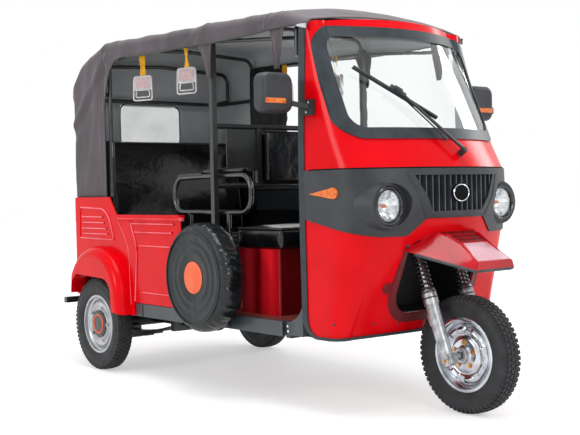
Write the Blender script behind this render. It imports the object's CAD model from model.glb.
"""Auto rickshaw: the finished looks of a passenger three-wheeler, put together in build order.

The rolling chassis comes first, then the pressed body, the front end, the cabin,
the canopy and the small fittings, and last the plain studio.
"""
import math

import bmesh
import bpy
from mathutils import Matrix, Vector, noise
from mathutils.bvhtree import BVHTree


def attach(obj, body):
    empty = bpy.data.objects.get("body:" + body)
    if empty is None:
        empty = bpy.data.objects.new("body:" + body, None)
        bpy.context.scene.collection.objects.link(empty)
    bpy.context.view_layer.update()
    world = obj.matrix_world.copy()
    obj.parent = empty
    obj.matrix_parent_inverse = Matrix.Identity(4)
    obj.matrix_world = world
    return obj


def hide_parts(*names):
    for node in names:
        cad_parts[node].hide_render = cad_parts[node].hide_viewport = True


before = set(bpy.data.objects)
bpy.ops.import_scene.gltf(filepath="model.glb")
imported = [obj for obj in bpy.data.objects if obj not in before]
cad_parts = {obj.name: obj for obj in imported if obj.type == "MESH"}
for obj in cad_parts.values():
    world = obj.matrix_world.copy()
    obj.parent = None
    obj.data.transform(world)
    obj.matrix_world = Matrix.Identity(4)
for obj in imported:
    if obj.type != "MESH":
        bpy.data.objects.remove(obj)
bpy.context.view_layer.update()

# ---------------------------------------------------------------- chassis rails, floor supports, bumper
# Welded square tube and pressed channel, sprayed semi-gloss black and baked.
# The bumper tube at the back and the bench boxes have the same paint.


def linear(hex_colour):
    """Turns an sRGB hex value into the linear colour that a shader takes."""
    parts = [int(hex_colour[i:i + 2], 16) / 255 for i in (1, 3, 5)]
    return tuple(c / 12.92 if c <= 0.04045 else ((c + 0.055) / 1.055) ** 2.4 for c in parts) + (1.0,)


def add_node(material, kind, feeds=None, **settings):
    """Adds one shader node; feeds maps an input's name or number to a value or to another node's output."""
    new = material.node_tree.nodes.new(kind)
    for name, value in settings.items():
        setattr(new, name, value)
    for name, value in (feeds or {}).items():
        if isinstance(value, bpy.types.NodeSocket):
            material.node_tree.links.new(value, new.inputs[name])
        else:
            new.inputs[name].default_value = value
    return new


def new_finish(name, **surface):
    """A material with its Principled shader, whose plain values are set on its own sockets."""
    material = bpy.data.materials.new(name)
    material.use_nodes = True
    shader = material.node_tree.nodes["Principled BSDF"]
    for socket, value in surface.items():
        shader.inputs[socket.replace("_", " ")].default_value = value
    place = add_node(material, "ShaderNodeTexCoord").outputs["Object"]
    return material, shader, place


def mottle(material, shader, place, dark, light, scale):
    """Two near colours that drift into each other, as hand spraying, dust and fading leave them."""
    cloud = add_node(material, "ShaderNodeTexNoise", {"Vector": place, "Scale": scale, "Detail": 4.0})
    ramp = add_node(material, "ShaderNodeValToRGB", {"Fac": cloud.outputs["Fac"]})
    ramp.color_ramp.elements[0].position, ramp.color_ramp.elements[1].position = 0.35, 0.65
    ramp.color_ramp.elements[0].color = linear(dark)
    ramp.color_ramp.elements[1].color = linear(light)
    material.node_tree.links.new(ramp.outputs["Color"], shader.inputs["Base Color"])


def relief(material, shader, height, distance, strength=1.0, under=None):
    """Bump of a real depth in metres, on top of another bump where one is given."""
    bump = add_node(material, "ShaderNodeBump", {"Height": height, "Distance": distance, "Strength": strength})
    if under is not None:
        material.node_tree.links.new(under.outputs["Normal"], bump.inputs["Normal"])
    material.node_tree.links.new(bump.outputs["Normal"], shader.inputs["Normal"])
    return bump


def cloud_of(material, place, scale, detail=2.0):
    """Noise value whose grains are about 1/scale metres wide."""
    return add_node(material, "ShaderNodeTexNoise", {"Vector": place, "Scale": scale, "Detail": detail}).outputs["Fac"]


def dress(material, *names):
    """Gives whole CAD nodes one finish."""
    for name in names:
        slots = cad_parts[name].data.materials
        slots.clear()
        slots.append(material)


def finish(name, dark, light, scale, *grains, **surface):
    """A finish of two drifting colours. Each grain is a bump: noise scale, detail, depth in metres, strength."""
    material, shader, place = new_finish(name, **surface)
    mottle(material, shader, place, dark, light, scale)
    bump = None
    for grain_scale, detail, depth, strength in grains:
        bump = relief(material, shader, cloud_of(material, place, grain_scale, detail), depth, strength, bump)
    return material


def sprayed_enamel(name, dark, light, roughness, coat):
    """Enamel on steel: faint cloudy colour, and orange peel drawn at 9 mm, coarser than the real 2 mm."""
    peel = (110.0, 2.0, 0.00025, 0.5)
    return finish(name, dark, light, 5.0, peel, Roughness=roughness, Coat_Weight=coat, Coat_Roughness=0.08)


black_enamel = sprayed_enamel("black_chassis_enamel", "#0f1113", "#1b1e21", 0.38, 0.35)
dress(black_enamel, "chassis_frame", "rear_bumper", "leaf_springs", "bench_boxes", "partition_frame",
      "canopy_frame", "side_guard", "fork_crown", "handlebar")

# ---------------------------------------------------------------- rear axle and its drive motor
# Cast-iron banjo housing with tubes pressed in, painted black before assembly and dusty from the road.
cast_iron = finish("painted_cast_iron", "#15161a", "#2b2c2e", 14.0, (240.0, 3.0, 0.0008, 0.7), Roughness=0.62)
dress(cast_iron, "rear_axle")

# ---------------------------------------------------------------- batteries
# Moulded polypropylene cases in a steel tray under the rear bench.
battery_case = finish("moulded_polypropylene", "#191a1c", "#232426", 9.0, (300.0, 2.0, 0.0003, 0.5), Roughness=0.5)
dress(battery_case, "battery_pack")

# ---------------------------------------------------------------- rear tyres
# Moulded rubber, 3.75-12. The tread is a rib with a staggered row of blocks on each shoulder,
# cut in the mould 7 mm deep; the sidewall has a rim-guard line and a buffed ring.
WHEEL_Z = 0.254
FRONT_Y = -1.22
REAR_Y = 0.97
TREAD_BLOCKS = 64


def from_bmesh(name, bm, smooth=True):
    """Mesh from a bmesh, its doubles merged and its faces turned outwards."""
    bmesh.ops.remove_doubles(bm, verts=bm.verts, dist=1e-6)
    bmesh.ops.recalc_face_normals(bm, faces=bm.faces)
    mesh = bpy.data.meshes.new(name)
    bm.to_mesh(mesh)
    bm.free()
    for face in mesh.polygons:
        face.use_smooth = smooth
    return mesh


def put(name, mesh, material, body, finish_slot, *stands_for, sharp=35):
    """One finished piece: its material, the body that it rides on and the CAD nodes that it stands for."""
    part = bpy.data.objects.new(name, mesh)
    bpy.context.scene.collection.objects.link(part)
    mesh.materials.clear()
    mesh.materials.append(material)
    if sharp:
        mesh.set_sharp_from_angle(angle=math.radians(sharp))
    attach(part, body)
    if stands_for:
        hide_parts(*stands_for)
    return part


def bridge(bm, rows, around=False, ends=False):
    """Joins rows of points with faces, right round each row and over the end rows where asked."""
    for low, high in zip(rows, rows[1:]):
        for i in range(len(low) if around else len(low) - 1):
            j = (i + 1) % len(low)
            bm.faces.new((low[i], low[j], high[j], high[i]))
    if ends:
        bm.faces.new(rows[0])
        bm.faces.new(rows[-1])


def turned(name, profile, centre, steps=96, closed=True):
    """Mesh of a profile (x, radius) turned about a line along X through the centre."""
    bm = bmesh.new()
    rings = []
    for step in range(steps):
        angle = 2 * math.pi * step / steps
        rings.append([
            bm.verts.new((centre[0] + x, centre[1] + r * math.sin(angle), centre[2] + r * math.cos(angle)))
            for x, r in profile
        ])
    bridge(bm, rings + rings[:1], closed)
    return from_bmesh(name, bm)


def block(bm, low, high, bevel=0.0):
    """Adds a box between two corners, its edges eased where a bevel is given."""
    made = bmesh.ops.create_cube(bm, size=1.0)["verts"]
    for vertex in made:
        for axis in range(3):
            vertex.co[axis] = low[axis] if vertex.co[axis] < 0 else high[axis]
    if bevel:
        edges = list({edge for vertex in made for edge in vertex.link_edges})
        bmesh.ops.bevel(bm, geom=edges, offset=bevel, segments=2, affect="EDGES", profile=0.6)


def new_tree(name, **inputs):
    """An empty geometry node tree with a mesh and a material input, its named inputs and a mesh output."""
    tree = bpy.data.node_groups.new(name, "GeometryNodeTree")
    tree.interface.new_socket("Geometry", in_out="INPUT", socket_type="NodeSocketGeometry")
    for label, (kind, default) in inputs.items():
        socket = tree.interface.new_socket(label, in_out="INPUT", socket_type="NodeSocket" + kind)
        socket.default_value = default
    tree.interface.new_socket("Material", in_out="INPUT", socket_type="NodeSocketMaterial")
    tree.interface.new_socket("Geometry", in_out="OUTPUT", socket_type="NodeSocketGeometry")
    start = tree.nodes.new("NodeGroupInput")
    end = tree.nodes.new("NodeGroupOutput")
    return tree, start, end


def tree_node(tree, kind, feeds=None, **settings):
    """Adds one geometry node; feeds maps an input to a value or to another node's output."""
    new = tree.nodes.new("GeometryNode" + kind if not kind.startswith("Shader") else kind)
    for name, value in settings.items():
        setattr(new, name, value)
    for name, value in (feeds or {}).items():
        if isinstance(value, bpy.types.NodeSocket):
            tree.links.new(value, new.inputs[name])
        else:
            new.inputs[name].default_value = value
    return new


def close_tree(tree, start, end, geometry):
    """Ends a tree in Realize Instances and Set Material."""
    real = tree_node(tree, "RealizeInstances", {"Geometry": geometry})
    painted = tree_node(tree, "SetMaterial", {"Geometry": real.outputs[0], "Material": start.outputs["Material"]})
    tree.links.new(painted.outputs[0], end.inputs[0])


def grow(name, tree, mesh, material, **inputs):
    """Runs a tree on a starting mesh and keeps the plain mesh that it makes."""
    base = bpy.data.objects.new(name, mesh)
    bpy.context.scene.collection.objects.link(base)
    run = base.modifiers.new("grow", "NODES")
    run.node_group = tree
    for item in tree.interface.items_tree:
        if item.in_out == "INPUT" and item.name != "Geometry":
            run[item.identifier] = material if item.name == "Material" else inputs[item.name]
    grown = bpy.data.meshes.new_from_object(base.evaluated_get(bpy.context.evaluated_depsgraph_get()))
    grown.name = name
    bpy.data.objects.remove(base)
    return grown


# repeats a shape round an axle that lies along X
ring_tree, ring_in, ring_out = new_tree("ring_round_an_axle", Count=("Int", 8), Start=("Float", 0.0),
    Centre=("Vector", (0, 0, 0)))
ring_points = tree_node(ring_tree, "Points", {"Count": ring_in.outputs["Count"], "Position": ring_in.outputs["Centre"]})
ring_index = tree_node(ring_tree, "InputIndex")
ring_share = tree_node(ring_tree, "ShaderNodeMath", {0: 2 * math.pi, 1: ring_in.outputs["Count"]}, operation="DIVIDE")
ring_angle = tree_node(ring_tree, "ShaderNodeMath",
    {0: ring_index.outputs[0], 1: ring_share.outputs[0], 2: ring_in.outputs["Start"]}, operation="MULTIPLY_ADD")
ring_turn = tree_node(ring_tree, "ShaderNodeCombineXYZ", {"X": ring_angle.outputs[0]})
ring_copies = tree_node(ring_tree, "InstanceOnPoints",
    {"Points": ring_points.outputs[0], "Instance": ring_in.outputs["Geometry"], "Rotation": ring_turn.outputs[0]})
close_tree(ring_tree, ring_in, ring_out, ring_copies.outputs[0])

tyre_rubber = finish("moulded_tyre_rubber", "#1b1d1f", "#2c2e31", 18.0, (320.0, 3.0, 0.0006, 0.6), Roughness=0.7)

# section of the carcass: distance from the middle and radius, in metres
TYRE_HALF = [
    (0.0315, 0.1535), (0.032, 0.16), (0.0375, 0.165), (0.0405, 0.172), (0.0412, 0.175), (0.0425, 0.1755),
    (0.045, 0.185), (0.047, 0.196), (0.0475, 0.206), (0.0466, 0.216), (0.0462, 0.2165), (0.0452, 0.223),
    (0.0432, 0.232), (0.0392, 0.241), (0.031, 0.2472), (0.017, 0.2502),
]


def tyre(name, body, x, y, stands_for):
    """Carcass and tread blocks of one wheel."""
    outline = [(-u, r) for u, r in TYRE_HALF] + [(u, r) for u, r in reversed(TYRE_HALF)]
    put(name + "_carcass", turned(name, outline, (x, y, WHEEL_Z)), tyre_rubber, body, "tyre", stands_for)
    bm = bmesh.new()
    pitch = 2 * math.pi * 0.25 / TREAD_BLOCKS
    for side in (-1, 1):
        low, high = sorted((side * 0.0225, side * 0.0375))
        shift = 0.25 * pitch * side
        block(bm, (low, shift - 0.33 * pitch, 0.24), (high, shift + 0.33 * pitch, 0.252), 0.0012)
        low, high = sorted((side * 0.0355, side * 0.0445))
        block(bm, (low, shift - 0.3 * pitch, 0.229), (high - 0.0008 * side, shift + 0.3 * pitch, 0.244), 0.0012)
        low, high = sorted((side * 0.003, side * 0.0195))
        block(bm, (low, -shift - 0.36 * pitch, 0.243), (high, -shift + 0.36 * pitch, 0.254), 0.0012)
    lug = from_bmesh(name + "_lug", bm, smooth=False)
    treads = grow(name + "_tread", ring_tree, lug, tyre_rubber, Count=TREAD_BLOCKS, Start=0.0, Centre=(x, y, WHEEL_Z))
    put(name + "_tread", treads, tyre_rubber, body, "tyre", sharp=0)


tyre("rear_right_tyre_made", "rear_wheel_right", -0.556, REAR_Y, "rear_right_tyre")
tyre("rear_left_tyre_made", "rear_wheel_left", 0.556, REAR_Y, "rear_left_tyre")

# ---------------------------------------------------------------- front tyre
# The same mould as at the rear.
tyre("front_tyre_made", "front_wheel", 0.0, FRONT_Y, "front_tyre")

# ---------------------------------------------------------------- wheel paint
# Silver paint over zinc, sprayed on the rear rims and on the hub barrel of the front wheel.
wheel_paint = finish("silver_wheel_paint", "#9fa1a4", "#c3c5c8", 12.0,
    (190.0, 2.0, 0.0003, 0.4), Metallic=0.75, Roughness=0.36)

# ---------------------------------------------------------------- front rim
# Rolled well with a welded, deep-drawn disc, all chromed. The disc has eight drawn lobes for stiffness.
chrome = finish("chromed_steel", "#a4a8b0", "#cdd0d5", 16.0, (60.0, 2.0, 0.0003, 0.3), Metallic=1.0, Roughness=0.19)
HUB = (0.0, FRONT_Y, WHEEL_Z)
LOBES = 8
WELL = [
    (-0.036, 0.15), (-0.0368, 0.158), (-0.0358, 0.1612), (-0.0336, 0.161), (-0.032, 0.1575), (-0.0318, 0.1532),
    (-0.018, 0.1525), (-0.01, 0.142), (0.01, 0.142), (0.018, 0.1525), (0.0318, 0.1532), (0.032, 0.1575),
    (0.0336, 0.161), (0.0358, 0.1612), (0.0368, 0.158), (0.036, 0.15), (0.029, 0.149), (0.02, 0.148),
    (0.011, 0.1385), (-0.011, 0.1385), (-0.02, 0.148), (-0.029, 0.149),
]
put("front_rim_well", turned("front_rim_well", WELL, HUB, 128), chrome, "front_wheel", "chrome_steel", "front_rim")
# columns: radius, how far the disc's face stands out from the middle plane
DISC = [
    (0.028, 0.034), (0.034, 0.036), (0.038, 0.029), (0.044, 0.028), (0.064, 0.028), (0.072, 0.026),
    (0.079, 0.02), (0.086, 0.019), (0.096, 0.024), (0.108, 0.026), (0.12, 0.023), (0.129, 0.014),
    (0.135, 0.007), (0.14, 0.006),
]


def face_out(radius):
    """How far the disc stands out at that radius, eased between the rows of its table."""
    for (r0, x0), (r1, x1) in zip(DISC, DISC[1:]):
        if radius <= r1:
            t = (radius - r0) / (r1 - r0)
            return x0 + (x1 - x0) * t * t * (3 - 2 * t)
    return DISC[-1][1]


bm = bmesh.new()
DISC_RINGS, DISC_STEPS, DISC_T = 44, 160, 0.0025
sheets = []
for skin in (0.0, DISC_T):
    rows = []
    for ring in range(DISC_RINGS + 1):
        radius = 0.028 + (0.14 - 0.028) * ring / DISC_RINGS
        row = []
        for step in range(DISC_STEPS):
            angle = 2 * math.pi * step / DISC_STEPS
            lobe = min(1.0, max(0.0, 0.5 + 1.6 * math.sin(LOBES * angle)))
            lobe *= math.exp(-((radius - 0.107) / 0.013) ** 2)
            out = -(face_out(radius) + 0.0065 * lobe) + skin
            row.append(bm.verts.new((out, HUB[1] + radius * math.sin(angle), HUB[2] + radius * math.cos(angle))))
        rows.append(row)
    sheets.append(rows)
for rows in sheets:
    bridge(bm, rows, around=True)
for ring in (0, DISC_RINGS):
    bridge(bm, [sheets[0][ring], sheets[1][ring]], around=True)
put("front_rim_disc", from_bmesh("front_rim_disc", bm), chrome, "front_wheel", "chrome_steel", sharp=0)

# hub barrel with its bearing bore, and the brass-plated wheel nuts on their studs
HUB_BARREL = [(-0.055, 0.02), (-0.055, 0.031), (-0.053, 0.0335), (-0.035, 0.0335), (-0.03, 0.03), (0.035, 0.03),
    (0.035, 0.013),
              (-0.042, 0.013), (-0.044, 0.02)]
put("front_hub", turned("front_hub", HUB_BARREL, HUB, 64), wheel_paint, "front_wheel", "chrome_steel")
brass = finish("brass_plated_steel", "#b98a4e", "#e0bb84", 60.0,
    (220.0, 2.0, 0.0003, 0.4), Metallic=1.0, Roughness=0.3)


def nut_mesh(name, across_flats, height, centre, washer=0.0):
    """Hexagon nut with a domed face towards -X, on a washer where one is given."""
    bm = bmesh.new()
    half = across_flats / 2 / math.cos(math.pi / 6)
    for radius, low, high, sides in ((washer, 0.0, 0.002, 24), (half, 0.0, height, 6),
            (half * 0.5, height, height + 0.004, 12)):
        if radius:
            made = bmesh.ops.create_cone(bm, cap_ends=True, segments=sides, radius1=radius, radius2=radius * 0.93,
                depth=high - low)["verts"]
            for vertex in made:
                up = (low + high) / 2 + vertex.co.z
                vertex.co = Vector((centre[0] - up, centre[1] + vertex.co.x, centre[2] + vertex.co.y))
    return from_bmesh(name, bm, smooth=False)


nut = nut_mesh("wheel_nut", 0.017, 0.01, (-0.027, 0.0, 0.053), 0.0135)
put("front_wheel_nuts", grow("front_wheel_nuts", ring_tree, nut, brass, Count=5, Start=0.0, Centre=HUB), brass,
    "front_wheel", "chrome_steel", sharp=0)

# ---------------------------------------------------------------- telescopic fork
# Cast aluminium lower legs, left as cast and tumbled, with chromed stanchions above them.
cast_alloy = finish("cast_aluminium", "#8d9093", "#b9bbbd", 30.0,
    (260.0, 3.0, 0.0005, 0.6), Metallic=0.85, Roughness=0.42)
dress(cast_alloy, "fork_legs")
CASTER = math.radians(21)
LEG_X = 0.118
LEG_BACK = 0.014


def on_fork(x, back, along):
    """Point of the fork's own frame: x, distance behind the axle and distance up along the steering axis."""
    return Vector((
        x,
        FRONT_Y + back * math.cos(CASTER) + along * math.sin(CASTER),
        WHEEL_Z - back * math.sin(CASTER) + along * math.cos(CASTER),
    ))


def fork_turned(name, profile, x, back, steps=40):
    """Mesh of a profile (distance along, radius) turned about a line along the steering axis."""
    mesh = turned(name, profile, (0, 0, 0), steps)
    for vertex in mesh.vertices:
        along, across, fore = vertex.co
        vertex.co = on_fork(x + across, back + fore, along)
    return mesh


SIDES = (("right", -1), ("left", 1))
# raised bead, a diamond boss and a clamp foot on each lower leg, all cast with it
for side, hand in SIDES:
    bm = bmesh.new()
    leg_x = hand * LEG_X
    block(bm, (-0.005, -0.0335, 0.01), (0.005, -0.026, 0.235), 0.002)
    block(bm, (-0.0325, -0.006, 0.03), (-0.025, 0.006, 0.235), 0.0015)
    block(bm, (0.025, -0.006, 0.03), (0.0325, 0.006, 0.235), 0.0015)
    block(bm, (-0.012, 0.022, 0.15), (0.012, 0.036, 0.2), 0.003)
    block(bm, (-0.02, -0.038, -0.034), (0.02, -0.012, 0.014), 0.006)
    for vertex in bm.verts:
        vertex.co = on_fork(leg_x + vertex.co.x, LEG_BACK + vertex.co.y, vertex.co.z)
    put(f"fork_leg_ribs_{side}", from_bmesh("fork_leg_ribs", bm, smooth=False), cast_alloy, "steering", "cast_alloy",
        sharp=0)
foot = on_fork(0.0, 0.012, -0.012)
for side, hand in SIDES:
    bolt = nut_mesh("fork_foot_nut", 0.019, 0.011, (0.0, 0.0, 0.0), 0.015)
    for vertex in bolt.vertices:
        vertex.co = Vector((hand * (LEG_X + 0.0205 - vertex.co.x), foot.y + vertex.co.y, foot.z + vertex.co.z))
    if hand > 0:
        bolt.flip_normals()
    put(f"fork_foot_nut_{side}", bolt, brass, "steering", "cast_alloy", sharp=0)

# ---------------------------------------------------------------- fork springs
# Wound from 8 mm spring wire and dipped in black, round chromed stanchions, on a bright collar
# with two rubber rings.
coil_tree, coil_in, coil_out = new_tree(
    "wound_spring", Turns=("Float", 8.0), Length=("Float", 0.16), Radius=("Float", 0.026), Wire=("Float", 0.004))
coil_line = tree_node(coil_tree, "CurveSpiral", {
    "Resolution": 28, "Rotations": coil_in.outputs["Turns"], "Height": coil_in.outputs["Length"],
    "Start Radius": coil_in.outputs["Radius"], "End Radius": coil_in.outputs["Radius"]})
coil_wire = tree_node(coil_tree, "CurvePrimitiveCircle", {"Resolution": 10, "Radius": coil_in.outputs["Wire"]})
coil_skin = tree_node(coil_tree, "CurveToMesh",
    {"Curve": coil_line.outputs[0], "Profile Curve": coil_wire.outputs[0], "Fill Caps": True})
close_tree(coil_tree, coil_in, coil_out, coil_skin.outputs[0])
SPRING_FOOT, SPRING_TOP = 0.302, 0.476
for side, hand in SIDES:
    coil = grow("fork_coil", coil_tree, bpy.data.meshes.new("fork_coil_seed"), black_enamel,
                Turns=9.0, Length=SPRING_TOP - SPRING_FOOT, Radius=0.0255, Wire=0.0042)
    for vertex in coil.vertices:
        vertex.co = on_fork(hand * LEG_X + vertex.co.x, LEG_BACK + vertex.co.y, SPRING_FOOT + vertex.co.z)
    for face in coil.polygons:
        face.use_smooth = True
    put(f"fork_coil_{side}", coil, black_enamel, "steering", "black_steel", *(["fork_springs"] if hand < 0 else []),
        sharp=0)
    sleeve = [(0.274, 0.015), (0.274, 0.0325), (0.28, 0.033), (0.286, 0.0315), (0.297, 0.03), (0.301, 0.028),
        (0.301, 0.015)]
    put(f"fork_collar_{side}", fork_turned("fork_collar", sleeve, hand * LEG_X, LEG_BACK), cast_alloy, "steering",
        "cast_alloy")
    for ring, (low, high) in enumerate(((0.26, 0.268), (0.287, 0.294))):
        band = [(low, 0.03), (low + 0.001, 0.035), (high - 0.001, 0.035), (high, 0.03)]
        put(f"fork_band_{side}_{ring}", fork_turned("fork_band", band, hand * LEG_X, LEG_BACK), black_enamel,
            "steering", "black_steel")
    rod = [(0.29, 0.0), (0.29, 0.0155), (0.4765, 0.0155), (0.4765, 0.0)]
    put(f"fork_rod_{side}", fork_turned("fork_rod", rod, hand * LEG_X, LEG_BACK), chrome, "steering", "chrome_steel")

# ---------------------------------------------------------------- handlebar grips
# Moulded rubber sleeves, pushed on with soap.
grip_rubber = finish("moulded_grip_rubber", "#141414", "#202020", 20.0, (300.0, 2.0, 0.0006, 0.7), Roughness=0.75)
dress(grip_rubber, "bar_grips")

# ---------------------------------------------------------------- sills and floor
# Pressed steel channel and sheet: blue-grey enamel outside, red oxide paint where feet go.
sill_enamel = sprayed_enamel("blue_grey_sill_enamel", "#2b3439", "#394348", 0.42, 0.2)
dress(sill_enamel, "sills")
floor_oxide = sprayed_enamel("red_oxide_floor_paint", "#6d2620", "#84352b", 0.55, 0.1)
dress(floor_oxide, "floor_pan")

# ---------------------------------------------------------------- cab, apron and tub
# Pressed steel in solid red enamel, sprayed and flatted; a clear top layer gives the deep gloss.
red_enamel = sprayed_enamel("gloss_red_enamel", "#e0000e", "#ec0414", 0.2, 0.0)
red_enamel.node_tree.nodes["Principled BSDF"].inputs["Specular IOR Level"].default_value = 0.13
dress(red_enamel, "front_apron", "tub_rear")


def second_colour(material, shader, share, first, hue):
    """Sends the base colour through a mix: a colour socket where the share is 0, one hue where it is 1."""
    choice = add_node(material, "ShaderNodeMix", {"Factor": share.outputs[0]}, data_type="RGBA")
    sockets = [socket for socket in choice.inputs if socket.type == "RGBA"]
    material.node_tree.links.new(first, sockets[0])
    sockets[1].default_value = linear(hue)
    result = [socket for socket in choice.outputs if socket.type == "RGBA"][0]
    material.node_tree.links.new(result, shader.inputs["Base Color"])


LINING_TOP = 1.67


def lined(name, hue):
    """The same enamel outside, and faces that look inwards across the vehicle in the lining's colour."""
    both_sides = red_enamel.copy()
    both_sides.name = name
    shader = both_sides.node_tree.nodes["Principled BSDF"]
    coords = add_node(both_sides, "ShaderNodeTexCoord")
    place_parts = add_node(both_sides, "ShaderNodeSeparateXYZ", {0: coords.outputs["Object"]})
    facing_parts = add_node(both_sides, "ShaderNodeSeparateXYZ", {0: coords.outputs["Normal"]})
    across = add_node(both_sides, "ShaderNodeMath", {0: place_parts.outputs["X"], 1: facing_parts.outputs["X"]},
        operation="MULTIPLY")
    inward = add_node(both_sides, "ShaderNodeMath", {0: across.outputs[0], 1: -0.15}, operation="LESS_THAN")
    below = add_node(both_sides, "ShaderNodeMath", {0: place_parts.outputs["Z"], 1: LINING_TOP}, operation="LESS_THAN")
    inward = add_node(both_sides, "ShaderNodeMath", {0: inward.outputs[0], 1: below.outputs[0]}, operation="MULTIPLY")
    second_colour(both_sides, shader, inward, shader.inputs["Base Color"].links[0].from_socket, hue)
    return both_sides


dress(lined("gloss_red_enamel_pale_inside", "#aebdc6"), "cab_upper")
dress(lined("gloss_red_enamel_black_inside", "#121416"), "tub_right", "tub_left")

# ---------------------------------------------------------------- wheel houses and arch liner
# Black moulded polypropylene, matt from its grained mould.
liner_plastic = finish("grained_black_polypropylene", "#131415", "#1e1f21", 10.0,
    (260.0, 2.0, 0.0005, 0.6), Roughness=0.6)
dress(liner_plastic, "wheel_houses", "arch_liner", "dashboard", "mirror_arms")

# ---------------------------------------------------------------- cab edge trim and screen seal
# Extruded EPDM rubber, pushed on the flanges; it stays satin and picks up fine dust.
seal_rubber = finish("extruded_epdm_rubber", "#232b30", "#323b41", 12.0,
    (200.0, 2.0, 0.0003, 0.4), Roughness=0.42, Specular_IOR_Level=0.35)
dress(seal_rubber, "cab_edge_trim", "windscreen_seal")

# ---------------------------------------------------------------- windscreen
# Laminated glass, 5 mm, with the faint green of its iron content.
screen_glass = finish("laminated_glass", "#f2f7f6", "#fafdfd", 3.0, Roughness=0.02, IOR=1.45, Transmission_Weight=1.0)
dress(screen_glass, "windscreen")

# ---------------------------------------------------------------- front mask
# One moulding of charcoal ABS with a fine leather grain, drawn at 6 mm so that it shows.
mask_plastic = finish("grained_charcoal_abs", "#2c2f32", "#3a3d41", 7.0,
    (160.0, 3.0, 0.0005, 0.6), Roughness=0.46, Specular_IOR_Level=0.35)
dress(mask_plastic, "front_mask", "mirror_shells")

# ---------------------------------------------------------------- tail lamps and mirror glass
# The tail lamps are dyed acrylic; the mirrors are silvered glass.
ruby = finish("red_acrylic", "#8c0a0c", "#a81216", 40.0, Roughness=0.2, Coat_Weight=0.4, Coat_Roughness=0.05)
dress(ruby, "tail_lamps")
mirror_silver = finish("silvered_mirror", "#d6dadd", "#e2e6e8", 9.0, Metallic=1.0, Roughness=0.03)
dress(mirror_silver, "mirror_glasses")

# ---------------------------------------------------------------- benches, seat, backrest and pads
# Glossy black vinyl over moulded foam on ply boards, welted round the edges and stapled underneath.
# The foam pushes the cloth out between its welts.
seat_vinyl = finish("gloss_black_vinyl", "#0a0b0d", "#15171a", 8.0,
    (11.0, 3.0, 0.01, 0.6), (280.0, 2.0, 0.0004,
        0.5), Roughness=0.2, Specular_IOR_Level=0.4, Coat_Weight=0.12, Coat_Roughness=0.1)
welt_vinyl = finish("welt_vinyl", "#101114", "#1d1f22", 14.0, Roughness=0.35, Coat_Weight=0.2)

rope_tree, rope_in, rope_out = new_tree("round_along_a_path", Radius=("Float", 0.004))
rope_line = tree_node(rope_tree, "MeshToCurve", {"Mesh": rope_in.outputs["Geometry"]})
rope_round = tree_node(rope_tree, "CurvePrimitiveCircle", {"Resolution": 10, "Radius": rope_in.outputs["Radius"]})
rope_skin = tree_node(rope_tree, "CurveToMesh",
    {"Curve": rope_line.outputs[0], "Profile Curve": rope_round.outputs[0], "Fill Caps": True})
close_tree(rope_tree, rope_in, rope_out, rope_skin.outputs[0])


def path_mesh(name, points, closed=False):
    """Bare line of points for the round-along-a-path tree."""
    mesh = bpy.data.meshes.new(name)
    edges = [(i, i + 1) for i in range(len(points) - 1)]
    mesh.from_pydata([tuple(point) for point in points], edges + ([(len(points) - 1, 0)] if closed else []), [])
    return mesh


def rounded_path(corners, bend, closed=True, steps=8):
    """Points along straight runs whose corners are rounded."""
    corners = [Vector(corner) for corner in corners]
    points = []
    for i, corner in enumerate(corners):
        if not closed and i in (0, len(corners) - 1):
            points.append(corner)
            continue
        before, after = corners[i - 1] - corner, corners[(i + 1) % len(corners)] - corner
        start = corner + before.normalized() * min(bend, before.length * 0.49)
        end = corner + after.normalized() * min(bend, after.length * 0.49)
        for step in range(steps + 1):
            t = step / steps
            points.append(start * (1 - t) ** 2 + corner * 2 * t * (1 - t) + end * t * t)
    return points


def rope(name, points, radius, material, body, finish_slot, *stands_for, closed=False):
    """Round cord, rod or welt along a path."""
    grown = grow(name, rope_tree, path_mesh(name, points, closed), material, Radius=radius)
    for face in grown.polygons:
        face.use_smooth = True
    return put(name, grown, material, body, finish_slot, *stands_for, sharp=50)


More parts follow.
